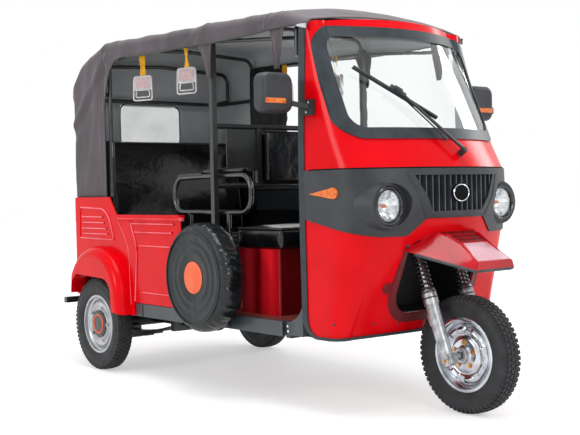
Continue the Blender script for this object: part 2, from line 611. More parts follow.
def cushion(name, node, voxel, cap, flat_axis=2, flat_low=True):
    """A CAD pad blown up as cloth, held at its welts and on the board that it rests on."""
    bm = bmesh.new()
    bm.from_mesh(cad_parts[node].data)
    bmesh.ops.remove_doubles(bm, verts=bm.verts, dist=1e-5)
    bm.normal_update()
    for vertex in bm.verts:
        vertex.co -= vertex.normal * 0.002
    start_mesh = bpy.data.meshes.new(name)
    bm.to_mesh(start_mesh)
    bm.free()
    pad = bpy.data.objects.new(name, start_mesh)
    bpy.context.scene.collection.objects.link(pad)
    remesh = pad.modifiers.new("even", "REMESH")
    remesh.mode, remesh.voxel_size = "VOXEL", voxel
    even = bpy.data.meshes.new_from_object(pad.evaluated_get(bpy.context.evaluated_depsgraph_get()))
    pad.modifiers.clear()
    pad.data = even
    ends = [vertex.co[flat_axis] for vertex in even.vertices]
    board = min(ends) if flat_low else max(ends)
    held = [
        vertex.index for vertex in even.vertices
        if max(abs(c) for c in vertex.normal) < 0.85 or abs(vertex.co[flat_axis] - board) < 0.006
    ]
    at_rest = [vertex.co.copy() for vertex in even.vertices]
    pins = pad.vertex_groups.new(name="welts")
    pins.add(held, 1.0, "REPLACE")
    cloth = pad.modifiers.new("cloth", "CLOTH")
    cloth.settings.quality = 4
    cloth.settings.vertex_group_mass = "welts"
    cloth.settings.use_pressure = True
    cloth.settings.uniform_pressure_force = 4.0
    cloth.settings.effector_weights.gravity = 0.0
    cloth.point_cache.frame_start, cloth.point_cache.frame_end = 1, 20
    for step in range(1, 21):
        bpy.context.scene.frame_set(step)
    blown = bpy.data.meshes.new_from_object(pad.evaluated_get(bpy.context.evaluated_depsgraph_get()))
    pad.modifiers.clear()
    pad.vertex_groups.clear()
    for vertex, was in zip(blown.vertices, at_rest):
        off = vertex.co - was
        if off.length > cap:
            vertex.co = was + off.normalized() * cap
    pad.data = blown
    bpy.context.scene.frame_set(1)
    held = set(held)
    for vertex in pad.data.vertices:
        if vertex.index in held and abs(vertex.co[flat_axis] - board) > 0.012:
            vertex.co -= vertex.normal * 0.0025
    for face in pad.data.polygons:
        face.use_smooth = True
    pad.data.name = name
    pad.data.materials.clear()
    pad.data.materials.append(seat_vinyl)
    smooth = pad.modifiers.new("smooth", "SUBSURF")
    smooth.levels = smooth.render_levels = 1
    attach(pad, "root")
    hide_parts(node)
    return pad


def node_box(node):
    """Lowest and highest corner of a CAD node."""
    points = [vertex.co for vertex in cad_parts[node].data.vertices]
    return [Vector([pick(point[axis] for point in points) for axis in range(3)]) for pick in (min, max)]


cushion("driver_seat_cushion", "driver_seat", 0.01, 0.014)
cushion("front_bench_cushion", "front_bench", 0.01, 0.014)
cushion("rear_bench_cushion", "rear_bench", 0.011, 0.018)
back_cushion = cushion("rear_back_cushion", "rear_backrest", 0.012, 0.024, flat_axis=1, flat_low=False)
back_low = min(vertex.co.z for vertex in back_cushion.data.vertices)
back_high = max(vertex.co.z for vertex in back_cushion.data.vertices)
BACK_TOP = 1.28
for vertex in back_cushion.data.vertices:
    rise = (vertex.co.z - back_low) / (back_high - back_low)
    behind = vertex.co.y - (1.03 + 0.07 * rise)
    crown = max(0.0, 1 - behind / 0.08) * min(1.0, 8 * rise, 8 * (1 - rise), 12 * (0.48 - abs(vertex.co.x)) + 0.1)
    vertex.co.y -= 0.009 * (1 + 0.8 * noise.noise(Vector((vertex.co.x * 4.5, vertex.co.z * 4.0, 2.5)))) * max(0.0,
        crown)
    vertex.co.z = back_low + (vertex.co.z - back_low) * (BACK_TOP - back_low) / (back_high - back_low)
cushion("partition_cushions", "partition_pads", 0.009, 0.01, flat_axis=1, flat_low=True)
cushion("armrest_cushions", "armrest_pads", 0.005, 0.005)

# welts on the seat and the benches run round the top edge
for name, node, bend in (("driver_seat_welt", "driver_seat", 0.022), ("front_bench_welt", "front_bench", 0.02),
        ("rear_bench_welt", "rear_bench", 0.03)):
    low, high = node_box(node)
    edge = 0.27 * bend
    corners = [(low.x + edge, low.y + edge, high.z - edge), (high.x - edge, low.y + edge, high.z - edge),
               (high.x - edge, high.y - edge, high.z - edge), (low.x + edge, high.y - edge, high.z - edge)]
    rope(name, rounded_path(corners, bend), 0.0042, welt_vinyl, "root", "seat_vinyl", closed=True)
# the backrest leans, so its front welt follows its own slope
low, high = node_box("rear_backrest")
BACK_FOOT_Y, BACK_HEAD_Y = 2.25 + FRONT_Y, 2.32 + FRONT_Y
corners = [(low.x + 0.008, BACK_FOOT_Y + 0.01, low.z + 0.008), (high.x - 0.008, BACK_FOOT_Y + 0.01, low.z + 0.008),
           (high.x - 0.008, BACK_HEAD_Y + 0.008, BACK_TOP - 0.01), (low.x + 0.008, BACK_HEAD_Y + 0.008,
               BACK_TOP - 0.01)]
rope("rear_back_welt", rounded_path(corners, 0.03), 0.0045, welt_vinyl, "root", "seat_vinyl", closed=True)

# padded sides close the rear bench in beside its backrest, and foam sleeves cover the armrest tubes
for side, hand in SIDES:
    bm = bmesh.new()
    low, high = sorted((hand * 0.49, hand * 0.513))
    block(bm, (low, 0.905, 0.872), (high, 1.16, 1.272), 0.01)
    bmesh.ops.subdivide_edges(bm, edges=bm.edges[:], cuts=2, use_grid_fill=True)
    side_pad = put(f"rear_side_pad_{side}", from_bmesh("rear_side_pad", bm), seat_vinyl, "root", "seat_vinyl", sharp=0)
    sleeve = [(hand * 0.46, y, z) for y, z in ((0.3, 1.052), (0.2, 1.054), (0.115, 1.056), (0.085, 1.056))]
    rope(f"armrest_sleeve_{side}", sleeve, 0.0185, seat_vinyl, "root", "seat_vinyl")

# ---------------------------------------------------------------- lip round the fork's opening
# The apron's sheet is turned in and painted dark red round the opening for the fork, and a round red
# reflector and three pan-head screws sit beside it.
cab_panels = bmesh.new()
for node in ("front_apron", "cab_upper", "front_mask"):
    cab_panels.from_mesh(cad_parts[node].data)
panel_tree = BVHTree.FromBMesh(cab_panels)
cab_panels.free()


def on_panel(x, z):
    """Point and outward direction on the front of the cab's panels."""
    hit, normal, _, _ = panel_tree.ray_cast(Vector((x, -2.0, z)), Vector((0, 1, 0)))
    return hit, normal if normal.y < 0 else -normal


def aimed(mesh, place, axis):
    """Turns a mesh that was made along -X to stand on a surface along its outward direction."""
    turn = Vector((-1, 0, 0)).rotation_difference(Vector(axis)).to_matrix()
    for vertex in mesh.vertices:
        vertex.co = turn @ vertex.co + Vector(place)
    return mesh


def fitting(name, profile, place, axis, material, finish_slot, *stands_for, steps=20, closed=False):
    """Turned piece that stands on a surface along its outward direction."""
    mesh = aimed(turned(name, profile, (0, 0, 0), steps, closed), place, axis)
    return put(name, mesh, material, "root", finish_slot, *stands_for)


lip_red = sprayed_enamel("dark_red_lip_enamel", "#56060f", "#6e0914", 0.5, 0.0)
MOUTH_X, MOUTH_LOW, MOUTH_TOP, MOUTH_BEND, LIP_WIDTH = 0.232, 0.425, 0.735, 0.11, 0.042
lip_line = []
for step in range(13):
    lip_line.append(((-MOUTH_X, MOUTH_TOP - (MOUTH_TOP - MOUTH_LOW - MOUTH_BEND) * step / 12), (-1.0, 0.0)))
for step in range(1, 13):
    turn = math.pi / 2 * step / 12
    lip_line.append(((-MOUTH_X + MOUTH_BEND * (1 - math.cos(turn)), MOUTH_LOW + MOUTH_BEND * (1 - math.sin(turn))),
        (-math.cos(turn), -math.sin(turn))))
lip_line += [((-x, z), (-nx, nz)) for (x, z), (nx, nz) in reversed(lip_line)]
bm = bmesh.new()
strips = []
for (x, z), (nx, nz) in lip_line:
    narrow = 0.35 + 0.65 * min(1.0, max(0.0, (MOUTH_TOP - z) / 0.2))
    cross = []
    for share, proud in ((-0.02, 0.0012), (0.0, 0.003), (0.1, 0.0036), (0.35, 0.0016), (0.85, 0.0012), (0.97, 0.002),
            (1.0, 0.0002)):
        hit, normal = on_panel(x + nx * LIP_WIDTH * narrow * max(share, 0.02),
            z + nz * LIP_WIDTH * narrow * max(share, 0.02))
        cross.append(bm.verts.new(hit + normal * proud))
    strips.append(cross)
bridge(bm, strips)
lip_mesh = from_bmesh("opening_lip", bm)


def thicken(part, wall, offset=0.0):
    """Gives an open sheet its thickness."""
    skin = part.modifiers.new("thickness", "SOLIDIFY")
    skin.thickness, skin.offset = wall, offset
    return skin


thicken(put("opening_lip", lip_mesh, lip_red, "root", "red_body", sharp=60), 0.001)
place, facing = on_panel(-0.29, 0.546)
round_face = [(0.0, 0.0), (0.0, 0.026), (-0.004, 0.026), (-0.0065, 0.023), (-0.0072, 0.012), (-0.0075, 0.0)]
ruby_dark = finish("moulded_red_reflector", "#5c0712", "#8a0d1c", 120.0, Roughness=0.3, Specular_IOR_Level=0.3)
fitting("round_reflector", round_face, place, facing, ruby_dark, "red_lens", steps=48)
pan_head = [(0.0, 0.0), (0.0, 0.0065), (-0.0022, 0.0058), (-0.0034, 0.003), (-0.0036, 0.0)]
for number, (x, z) in enumerate(((-0.49, 0.399), (-0.31, 0.389), (-0.16, 0.379))):
    place, facing = on_panel(x, z)
    fitting(f"apron_screw_{number}", pan_head, place, facing, black_enamel, "black_steel")

# ---------------------------------------------------------------- wheel guard
# Clear red acrylic, heat-formed in one piece, with a pale flat window, cooling slots, two drawn
# fins and a grey rubber strip pushed on its lower edge.
guard_red = finish("clear_red_acrylic", "#a80512", "#c90a1a", 6.0,
    Roughness=0.14, Specular_IOR_Level=0.3, Coat_Weight=0.1, Coat_Roughness=0.04)
dress(guard_red, "front_visor")
guard_window = finish("frosted_pink_acrylic", "#cf8f9e", "#e2b3bf", 5.0,
    Roughness=0.2, Coat_Weight=0.4, Coat_Roughness=0.05)
guard_dark = finish("shaded_red_acrylic", "#4d050d", "#6c0914", 60.0, Roughness=0.3)
# rows of the guard's form: y, half width and height of its foot, half width and height of its top
GUARD_ROWS = [(0.12, 0.264, 0.708, 0.132, 0.812), (-0.049, 0.178, 0.658, 0.096, 0.729),
    (-0.154, 0.122, 0.626, 0.108, 0.661)]


def guard_top(share_x, y, lift):
    """Point above the guard's top face: share_x runs from -1 to 1 across it."""
    for rear, front in zip(GUARD_ROWS, GUARD_ROWS[1:]):
        if y >= front[0]:
            t = (rear[0] - y) / (rear[0] - front[0])
            return Vector((share_x * (rear[3] + (front[3] - rear[3]) * t), y + FRONT_Y,
                rear[4] + (front[4] - rear[4]) * t + lift))


def ease_edges(bm, width):
    """Turns the faces outwards and rounds every edge."""
    bmesh.ops.recalc_face_normals(bm, faces=bm.faces)
    bmesh.ops.bevel(bm, geom=list(bm.edges), offset=width, segments=2, affect="EDGES", profile=0.6)


def plate(name, corners, thick, material, finish_slot):
    """Thin flat plate on four points, thickened upwards."""
    bm = bmesh.new()
    sides = [[bm.verts.new(Vector(corner) + Vector((0, 0, up))) for corner in corners] for up in (0, thick)]
    bridge(bm, sides, around=True, ends=True)
    ease_edges(bm, thick * 0.35)
    return put(name, from_bmesh(name, bm), material, "root", finish_slot)


plate("guard_window", [guard_top(s, y, -0.0004) for s,
    y in ((-0.84, -0.043), (0.84, -0.043), (0.93, -0.15), (-0.93, -0.15))], 0.003, guard_window, "red_lens")
for hand in (-1, 1):
    for row in range(3):
        for slot in range(6):
            near = 0.055 - 0.03 * row
            middle = hand * (0.1 + 0.145 * slot)
            plate(f"guard_slot_{row}_{slot}_{'left' if hand > 0 else 'right'}",
                  [guard_top(middle - 0.055, near, 0.0002), guard_top(middle + 0.055, near, 0.0002),
                   guard_top(middle + 0.055, near - 0.022, 0.0002), guard_top(middle - 0.055, near - 0.022, 0.0002)],
                  0.0012, guard_dark, "red_lens")
    # fin: a long wedge from behind the window forwards
    bm = bmesh.new()
    fin = []
    for y, wide, tall in ((0.04, 0.008, 0.002), (0.02, 0.01, 0.012), (-0.06, 0.009, 0.011), (-0.115, 0.006, 0.001)):
        base = guard_top(hand * 0.9, y, 0.0)
        fin.append([bm.verts.new(base + Vector(off)) for off in ((-wide, 0, -0.002), (-wide * 0.45, 0, tall),
            (wide * 0.45, 0, tall), (wide, 0, -0.002))])
    bridge(bm, fin, around=True, ends=True)
    ease_edges(bm, 0.0015)
    put(f"guard_fin_{'left' if hand > 0 else 'right'}", from_bmesh("guard_fin", bm), guard_red, "root", "red_lens")
# front wall and the strip along the foot
front = GUARD_ROWS[-1]


def upright_sheet(name, outline, faces_y, material, finish_slot):
    """Flat sheet that stands across the vehicle: its outline in x and z, and where its two faces are."""
    bm = bmesh.new()
    bridge(bm, [[bm.verts.new((x, y, z)) for x, z in outline] for y in faces_y], around=True, ends=True)
    return put(name, from_bmesh(name, bm), material, "root", finish_slot)


outline = [(-front[1], front[2]), (-front[3], front[4]), (front[3], front[4]), (front[1], front[2])]
upright_sheet("guard_front_wall", outline, (front[0] - 1.2235, front[0] - 1.2175), guard_red, "red_lens")
strip_rubber = finish("grey_edge_rubber", "#2f383d", "#424c52", 30.0, Roughness=0.55)
foot_line = [(-0.24, 0.073, 0.694), (-front[1] - 0.056, -0.049, 0.658), (-front[1], -0.156, 0.626),
    (front[1], -0.156, 0.626),
             (front[1] + 0.056, -0.049, 0.658), (0.24, 0.073, 0.694)]
foot_path = rounded_path([(x, y + FRONT_Y, z - 0.003) for x, y, z in foot_line], 0.03, closed=False)
rope("guard_edge_strip", foot_path, 0.0062, strip_rubber, "root", "rubber_seal")

# ---------------------------------------------------------------- headlamps
# Spun and aluminised reflector with pressed flutes, an amber parking bulb in the middle, a shallow
# glass lens and a black ring that clips it in.
reflector = finish("aluminised_reflector", "#c4c8cc", "#eceef0", 45.0, Metallic=1.0, Roughness=0.16)
ring_black = finish("gloss_black_polycarbonate", "#0d0e10", "#181a1c", 20.0, Roughness=0.18, Coat_Weight=0.3)
lens_clear = finish("clear_polycarbonate", "#f4f6f8", "#fdfefe", 9.0,
    Roughness=0.04, IOR=1.35, Transmission_Weight=0.96)
amber = finish("amber_acrylic", "#e0560a", "#f98a24", 55.0, Roughness=0.18, Coat_Weight=0.4, Coat_Roughness=0.05)
dress(amber, "turn_lamps")
LAMP_FRONT = FRONT_Y + 0.108
LAMP_X, LAMP_Z = 0.357, 0.899
for side, hand in SIDES:
    centre = (hand * LAMP_X, LAMP_FRONT, LAMP_Z)
    forward = (0, -1, 0)
    ring = [(0.03, 0.066), (-0.004, 0.0655), (-0.009, 0.068), (-0.012, 0.073), (-0.011, 0.079), (-0.006, 0.0832),
        (0.03, 0.0838)]
    fitting(f"headlamp_ring_{side}", ring, centre, forward, ring_black, "dark_mask", steps=72, closed=True)
    bm = bmesh.new()
    rings = []
    for index in range(15):
        share = index / 14
        row = []
        for step in range(96):
            angle = 2 * math.pi * step / 96
            r = 0.0655 - 0.0525 * share
            flute = 0.0011 * abs(math.sin(9 * angle)) * math.sin(math.pi * share)
            deep = 0.006 + 0.046 * math.sin(share * math.pi / 2) ** 1.2 + flute + 0.0012 * (index % 2) * (1 - share)
            row.append(bm.verts.new((deep, r * math.sin(angle), r * math.cos(angle))))
        rings.append(row)
    # a closed back keeps it a solid shell
    back = [bm.verts.new((0.06, v.co.y, v.co.z)) for v in rings[0]]
    bridge(bm, [back] + rings, around=True, ends=True)
    put(f"headlamp_reflector_{side}", aimed(from_bmesh("headlamp_reflector", bm), centre, forward), reflector, "root",
        "reflector",
        *(["headlamp_bowls"] if hand < 0 else []), sharp=20)
    bulb = [(0.04, 0.0), (0.04, 0.0085), (0.026, 0.009), (0.02, 0.008), (0.0155, 0.005), (0.0145, 0.0)]
    fitting(f"headlamp_bulb_{side}", bulb, centre, forward, amber, "amber", steps=32)
    lens = [(0.0035, 0.0), (0.004, 0.03), (0.006, 0.055), (0.0085, 0.065), (0.006, 0.0652), (0.003, 0.055),
        (0.0008, 0.03), (0.0, 0.0)]
    lens = [(x - 0.0045, r) for x, r in lens]
    fitting(f"headlamp_lens_{side}", lens, centre, forward, lens_clear, "lamp_glass",
            *(["headlamp_glasses"] if hand < 0 else []), steps=72)

# ---------------------------------------------------------------- grille
# The slats are moulded with the mask and catch the light on their front edges; the mesh behind is
# matt black. The round boss in the middle carries a bare bright ring.
slat_grey = finish("satin_slat_abs", "#3a4045", "#4d545a", 12.0, (200.0, 2.0, 0.0003, 0.4), Roughness=0.38)
dress(slat_grey, "grille")
void_black = finish("matt_black_mesh", "#050506", "#0b0b0c", 60.0, Roughness=0.85, Specular_IOR_Level=0.15)
GRILLE_CORNERS = [(-0.244, 1.024), (-0.155, 0.874), (0.155, 0.874), (0.244, 1.024)]
upright_sheet("grille_mesh", GRILLE_CORNERS, (-1.1385, -1.137), void_black, "black_plastic")
boss_front = FRONT_Y + 0.062 - 0.034


BOSS_WIDENING = 1.33


def boss_piece(name, profile, material, finish_slot, closed=False):
    """Turned piece of the boss, which is a third wider than it is tall."""
    mesh = aimed(turned(name, profile, (0, 0, 0), 64, closed), (0, boss_front, 0.948), (0, -1, 0))
    for vertex in mesh.vertices:
        vertex.co.x *= BOSS_WIDENING
    put(name, mesh, material, "root", finish_slot)


disc = [(0.006, 0.0), (0.006, 0.04), (-0.001, 0.04), (-0.0025, 0.038), (-0.0025, 0.0)]
boss_piece("grille_boss_face", disc, void_black, "black_plastic")
bright = [(-0.002, 0.0335), (-0.0045, 0.0338), (-0.0058, 0.0355), (-0.0045, 0.0372), (-0.002, 0.0375)]
boss_piece("grille_boss_ring", bright, reflector, "chrome_steel", closed=True)

# ---------------------------------------------------------------- wiper
# Pressed steel arm, sprung at the pivot, with a pantograph rod beside it and a bridged rubber blade.
wiper_black = finish("satin_black_coated_steel", "#17191c", "#26292d", 22.0,
    (260.0, 2.0, 0.0002, 0.4), Roughness=0.42)


def bar(name, start, end, wide, tall, off, material, finish_slot, *stands_for, taper=1.0):
    """Flat bar between two points, its width square to the glass's outward direction."""
    start, end, off = Vector(start), Vector(end), Vector(off).normalized()
    along = (end - start).normalized()
    side = along.cross(off).normalized()
    bm = bmesh.new()
    ends = []
    for point, share in ((start, 1.0), (end, taper)):
        ends.append([bm.verts.new(point + side * a * wide * share / 2 + off * b * tall * share / 2) for a,
            b in ((-1, -1), (1, -1), (1, 1), (-1, 1))])
    bridge(bm, ends, around=True, ends=True)
    ease_edges(bm, min(wide, tall) * 0.22)
    return put(name, from_bmesh(name, bm), material, "root", finish_slot, *stands_for)


GLASS_OUT = Vector((0, -0.84, 0.54))
PIVOT, ELBOW = Vector((0.03, -1.172, 1.122)), Vector((-0.225, -1.018, 1.385))
BLADE_TOP, BLADE_FOOT = Vector((-0.372, -0.92, 1.49)), Vector((-0.058, -1.108, 1.268))
LIFT_OFF = GLASS_OUT * 0.01
bar("wiper_arm", PIVOT + LIFT_OFF * 2.2, ELBOW + LIFT_OFF * 2.4, 0.017, 0.01, GLASS_OUT, wiper_black, "black_plastic",
    "wiper", taper=0.72)
bar("wiper_blade_spine", BLADE_TOP + LIFT_OFF, BLADE_FOOT + LIFT_OFF, 0.013, 0.011, GLASS_OUT, wiper_black,
    "black_plastic")
bar("wiper_blade_rubber", BLADE_TOP + LIFT_OFF * 0.2, BLADE_FOOT + LIFT_OFF * 0.2, 0.005, 0.01, GLASS_OUT,
    seal_rubber, "black_plastic")
middle = (BLADE_TOP + BLADE_FOOT) / 2
run = (BLADE_FOOT - BLADE_TOP).normalized()
bar("wiper_bridge", middle - run * 0.035 + LIFT_OFF * 2.0, middle + run * 0.045 + LIFT_OFF * 2.0, 0.03, 0.016,
    GLASS_OUT, wiper_black, "black_plastic", taper=0.8)
bar("wiper_bridge_cap", middle - run * 0.02 + LIFT_OFF * 3.2, middle + run * 0.02 + LIFT_OFF * 3.2, 0.02, 0.01,
    GLASS_OUT, wiper_black, "black_plastic")
rope("wiper_second_rod", [middle + run * 0.03 + LIFT_OFF * 2.0 + Vector((0, 0, -0.014)),
    Vector((-0.052, -1.118, 1.2)) + LIFT_OFF * 1.2,
                          Vector((-0.03, -1.138, 1.17)) + LIFT_OFF * 0.8], 0.0032, wiper_black, "root", "black_plastic")
hub_profile = [(0.024, 0.0), (0.024, 0.015), (-0.01, 0.014), (-0.014, 0.011), (-0.015, 0.0)]
fitting("wiper_pivot_cap", hub_profile, PIVOT + LIFT_OFF * 1.4, GLASS_OUT, wiper_black, "black_plastic", steps=32)

# ---------------------------------------------------------------- canopy
# Coated canvas in dark brown-grey with a pale grey lining, sewn from three panels and a back,
# drawn over the bows and bound along its hem. Woven at 0.8 mm, drawn at 4 mm so that it shows.
canvas = finish("coated_canvas", "#40383d", "#534a50", 3.0,
    (9.0, 4.0, 0.01, 0.55), (250.0, 2.0, 0.0006, 0.5), Roughness=0.62, Sheen_Weight=0.25, Sheen_Roughness=0.4)
lining = finish("grey_pvc_lining", "#c3c9cc", "#d3d8da", 2.5,
    (8.0, 4.0, 0.012, 0.6), (300.0, 2.0, 0.0004, 0.5), Roughness=0.5, Sheen_Weight=0.1)

HOOD_HALF = 0.526
HOOD_FOOT = 0.95
SHOULDER_BEND = 0.046
# columns: distance behind the front axle, half width, height of the shoulder, height of the crown
HOOD_STATIONS = [
    (0.448, 0.488, 1.712, 1.748), (0.5, 0.515, 1.733, 1.77), (0.534, 0.525, 1.746, 1.784), (0.62, 0.526, 1.775,
        1.818), (0.82, 0.526, 1.785, 1.836),
    (1.205, 0.526, 1.79, 1.84), (2.1, 0.526, 1.822, 1.848), (2.22, 0.526, 1.808, 1.838),
    (2.46, 0.526, 1.728, 1.765), (2.535, 0.526, 1.64, 1.665), (2.562, 0.517, 1.59, 1.606), (2.573, 0.496, 1.552, 1.566),
]
# columns: distance behind the front axle, height of the hem
HEM_LINE = [
    (0.44, 1.696), (0.52, 1.69), (0.708, 1.688), (0.9, 1.684), (1.133, 1.686), (1.371, 1.697), (1.759, 1.706),
    (1.9, 1.712), (1.978, 1.716), (2.05, 1.7), (2.1, 1.655), (2.135, 1.59), (2.16, 1.52), (2.17, 1.49),
]
HOOD_BOWS = (0.534, 1.165, 2.162, 2.4)
FLAP_EDGE = 2.1705
SEAM_LINES = (2.222, 0.7)
SIDE_ROWS, BEND_ROWS, CROWN_ROWS = 40, 6, 44


def between(table, at, column=1):
    """Value of a table's column at a place in its first column, on straight lines between rows."""
    if at <= table[0][0]:
        return table[0][column]
    for low, high in zip(table, table[1:]):
        if at <= high[0]:
            return low[column] + (high[column] - low[column]) * (at - low[0]) / (high[0] - low[0])
    return table[-1][column]


def eased(table, at, column):
    """The same, with the corners at the rows rounded over 40 mm each way."""
    return sum(between(table, at + 0.04 * step / 3, column) for step in range(-3, 4)) / 7


def ripple(x, y, z, size, seed):
    """Smooth noise from -1 to 1 whose waves are about size metres long."""
    return noise.noise(Vector((x / size + seed, y / size, z / size)))


BACK_START, BACK_REACH = 2.52, 0.053


def back_lean(z):
    """Share of its reach that the back stands out at a height: it falls inwards below 1.54 m."""
    return max(0.49, min(1.0, (z - 1.46) / 0.08))


def hood_point(station, side, up):
    """Point of the skin: side is -1 to 1 across the crown, or the side wall where up is from 0 to 1."""
    tail = station > 2.5
    pick = between if tail else eased
    half = pick(HOOD_STATIONS, station, 1)
    shoulder = pick(HOOD_STATIONS, station, 2)
    crown = pick(HOOD_STATIONS, station, 3)
    bend_z = shoulder - SHOULDER_BEND
    if up is not None:
        foot = HOOD_FOOT if station > FLAP_EDGE else between(HEM_LINE, station)
        y, z = station, foot + (bend_z - foot) * up
        if station > BACK_START:
            y = BACK_START + (station - BACK_START) * back_lean(z)
        return Vector((side * half, y, z)), Vector((side, 0, 0))
    # across the shoulder bends and the crown
    girth = abs(side)
    bend_share = BEND_ROWS / (BEND_ROWS + CROWN_ROWS / 2)
    if girth > 1 - bend_share:
        turn = (girth - (1 - bend_share)) / bend_share * math.pi / 2
        out = half - SHOULDER_BEND + SHOULDER_BEND * math.sin(turn)
        z = bend_z + SHOULDER_BEND * math.cos(turn)
        return Vector((math.copysign(out, side), station, z)), Vector((math.copysign(math.sin(turn), side), 0,
            math.cos(turn)))
    x = side / (1 - bend_share) * (half - SHOULDER_BEND)
    z = crown - (crown - shoulder) * (x / (half - SHOULDER_BEND)) ** 2
    return Vector((x, station, z)), Vector((0, 0, 1))


def slack(point, facing):
    """How far the cloth stands off its true form: sag between the bows, pull creases and the raised seams."""
    x, y, z = point
    near_bow = min(abs(y - bow) for bow in HOOD_BOWS)
    free = min(1.0, near_bow / 0.16) ** 1.5
    on_top = max(0.0, facing.z)
    on_side = abs(facing.x)
    sag = -0.013 * free * on_top * (1 - 0.55 * (x / HOOD_HALF) ** 2)
    waves = 0.0055 * ripple(x * 0.5, y * 1.6, z * 0.8, 0.16, 3.1) * (0.35 + 0.65 * free)
    # creases run down and back from each bow's shoulder
    pull = 0.0
    for bow in HOOD_BOWS[:3]:
        back = y - bow
        drop = 1.8 - z + 0.3 * abs(abs(x) - HOOD_HALF)
        for slope in (0.55, 1.15, 2.0):
            across_crease = (drop - slope * back) / math.hypot(1, slope)
            if back > -0.02:
                pull += 0.0055 * math.exp(-(across_crease / 0.011) ** 2) * math.exp(-back / 0.22) * min(1.0,
                    (back + 0.02) / 0.04)
    quarter = 0.0
    if y > 2.17 and on_side > 0.5:
        quarter = 0.007 * ripple(0.0, y * 2.2 + z * 0.35, z * 0.45, 0.14, 9.7 + x)
        fold = (z - 1.7 + 0.95 * (y - 2.19)) / 1.38
        quarter += 0.01 * math.exp(-(fold / 0.02) ** 2) - 0.005 * math.exp(-((fold + 0.045) / 0.022) ** 2)
    seam = sum(0.0022 * math.exp(-((y - line) / 0.0045) ** 4) for line in SEAM_LINES)
    edge = 0.0045 * ripple(0, y, 0, 0.11, 5.5) * on_side * math.exp(-max(0.0,
        z - between(HEM_LINE, y)) / 0.03) if y < 2.17 else 0.0
    return sag + waves + pull * (0.4 + 0.6 * on_side) + quarter + seam + edge


places = [0.448 + 0.0205 * i for i in range(84)] + [2.17, 2.171]
places += [2.182, 2.194, 2.206, 2.212, 2.216, 2.219, 2.2225, 2.226, 2.229, 2.233,
    2.24] + [2.258 + 0.02 * i for i in range(14)]
places += [2.53, 2.542, 2.55, 2.557, 2.562, 2.566, 2.569, 2.5715, 2.573]
places = sorted(p for p in places if not 0.69 < p < 0.712) + [0.69, 0.695, 0.698, 0.7, 0.702, 0.705, 0.712]
places.sort()
bm = bmesh.new()
skin_rows = []
for station in places:
    row = []
    for i in range(SIDE_ROWS):
        row.append(hood_point(station, -1, i / SIDE_ROWS))
    span = 2 * BEND_ROWS + CROWN_ROWS
    for i in range(span + 1):
        row.append(hood_point(station, -1 + 2 * i / span, None))
    for i in range(SIDE_ROWS - 1, -1, -1):
        row.append(hood_point(station, 1, i / SIDE_ROWS))
    made = []
    for point, facing in row:
        off = slack(point, facing)
        if station > 2.545:
            off *= max(0.0, (2.573 - station) / 0.028)
        made.append(bm.verts.new((point + facing * off) + Vector((0, FRONT_Y, 0))))
    skin_rows.append(made)
for low, high in zip(skin_rows, skin_rows[1:]):
    for i in range(len(low) - 1):
        if low is skin_rows[places.index(2.17)] and (i < SIDE_ROWS or i >= len(low) - 1 - SIDE_ROWS):
            continue
        bm.faces.new((low[i], high[i], high[i + 1], low[i + 1]))
# the back hangs inside the last hoop, its rows level with those of the side walls
last = skin_rows[-1]
inner = len(last) - 1 - 2 * SIDE_ROWS
WINDOW_HALF, WINDOW_LOW, WINDOW_HIGH, WINDOW_BEND = 0.213, 1.255, 1.521, 0.055


def window_gap(x, z):
    """Distance out from the window's rounded edge, in the back's own plane."""
    dx = abs(x) - (WINDOW_HALF - WINDOW_BEND)
    dz = abs(z - (WINDOW_LOW + WINDOW_HIGH) / 2) - ((WINDOW_HIGH - WINDOW_LOW) / 2 - WINDOW_BEND)
    return math.hypot(max(dx, 0), max(dz, 0)) + min(max(dx, dz), 0) - WINDOW_BEND


back_rows = []
for k in range(SIDE_ROWS + 1):
    left_end, right_end = last[k], last[len(last) - 1 - k]
    row = [left_end]
    for j in range(1, inner):
        top = last[SIDE_ROWS + j]
        across = (top.co.x - last[SIDE_ROWS].co.x) / (last[SIDE_ROWS + inner].co.x - last[SIDE_ROWS].co.x)
        x = left_end.co.x + (right_end.co.x - left_end.co.x) * across
        z = left_end.co.z
        soft = math.cos(math.pi * x / 1.1) * (0.004 * ripple(x * 2, 0, z * 0.6, 0.13, 21.0) + 0.003)
        y = left_end.co.y + soft
        gap = window_gap(x, z)
        if abs(gap) < 0.014:
            step = 0.001
            slope = Vector(((window_gap(x + step, z) - gap) / step, 0, (window_gap(x, z + step) - gap) / step))
            x, z = x - slope.x * gap, z - slope.z * gap
        row.append(bm.verts.new((x, y, z)))
    row.append(right_end)
    back_rows.append(row)
back_rows.append(last[SIDE_ROWS:SIDE_ROWS + inner + 1])
for low, high in zip(back_rows, back_rows[1:]):
    for j in range(inner):
        corners = []
        for vertex in (low[j], high[j], high[j + 1], low[j + 1]):
            if vertex not in corners:
                corners.append(vertex)
        middle = sum((v.co for v in corners), Vector()) / len(corners)
        if len(corners) > 2 and window_gap(middle.x, middle.z) > 0:
            bm.faces.new(corners)
bmesh.ops.delete(bm, geom=[v for v in bm.verts if not v.link_faces], context="VERTS")
bm.normal_update()
bmesh.ops.recalc_face_normals(bm, faces=bm.faces)
crown_face = max(bm.faces, key=lambda face: face.calc_center_median().z)
if crown_face.normal.z < 0:
    bmesh.ops.reverse_faces(bm, faces=bm.faces)
hood_area = sum(face.calc_area() for face in bm.faces)
hood_mesh = bpy.data.meshes.new("canopy_skin")
bm.to_mesh(hood_mesh)
bm.free()
for face in hood_mesh.polygons:
    face.use_smooth = True
hood = bpy.data.objects.new("canopy_skin", hood_mesh)
bpy.context.scene.collection.objects.link(hood)
hood_mesh.materials.append(canvas)
hood_mesh.materials.append(lining)
hood_wall = thicken(hood, 0.003, -1.0)
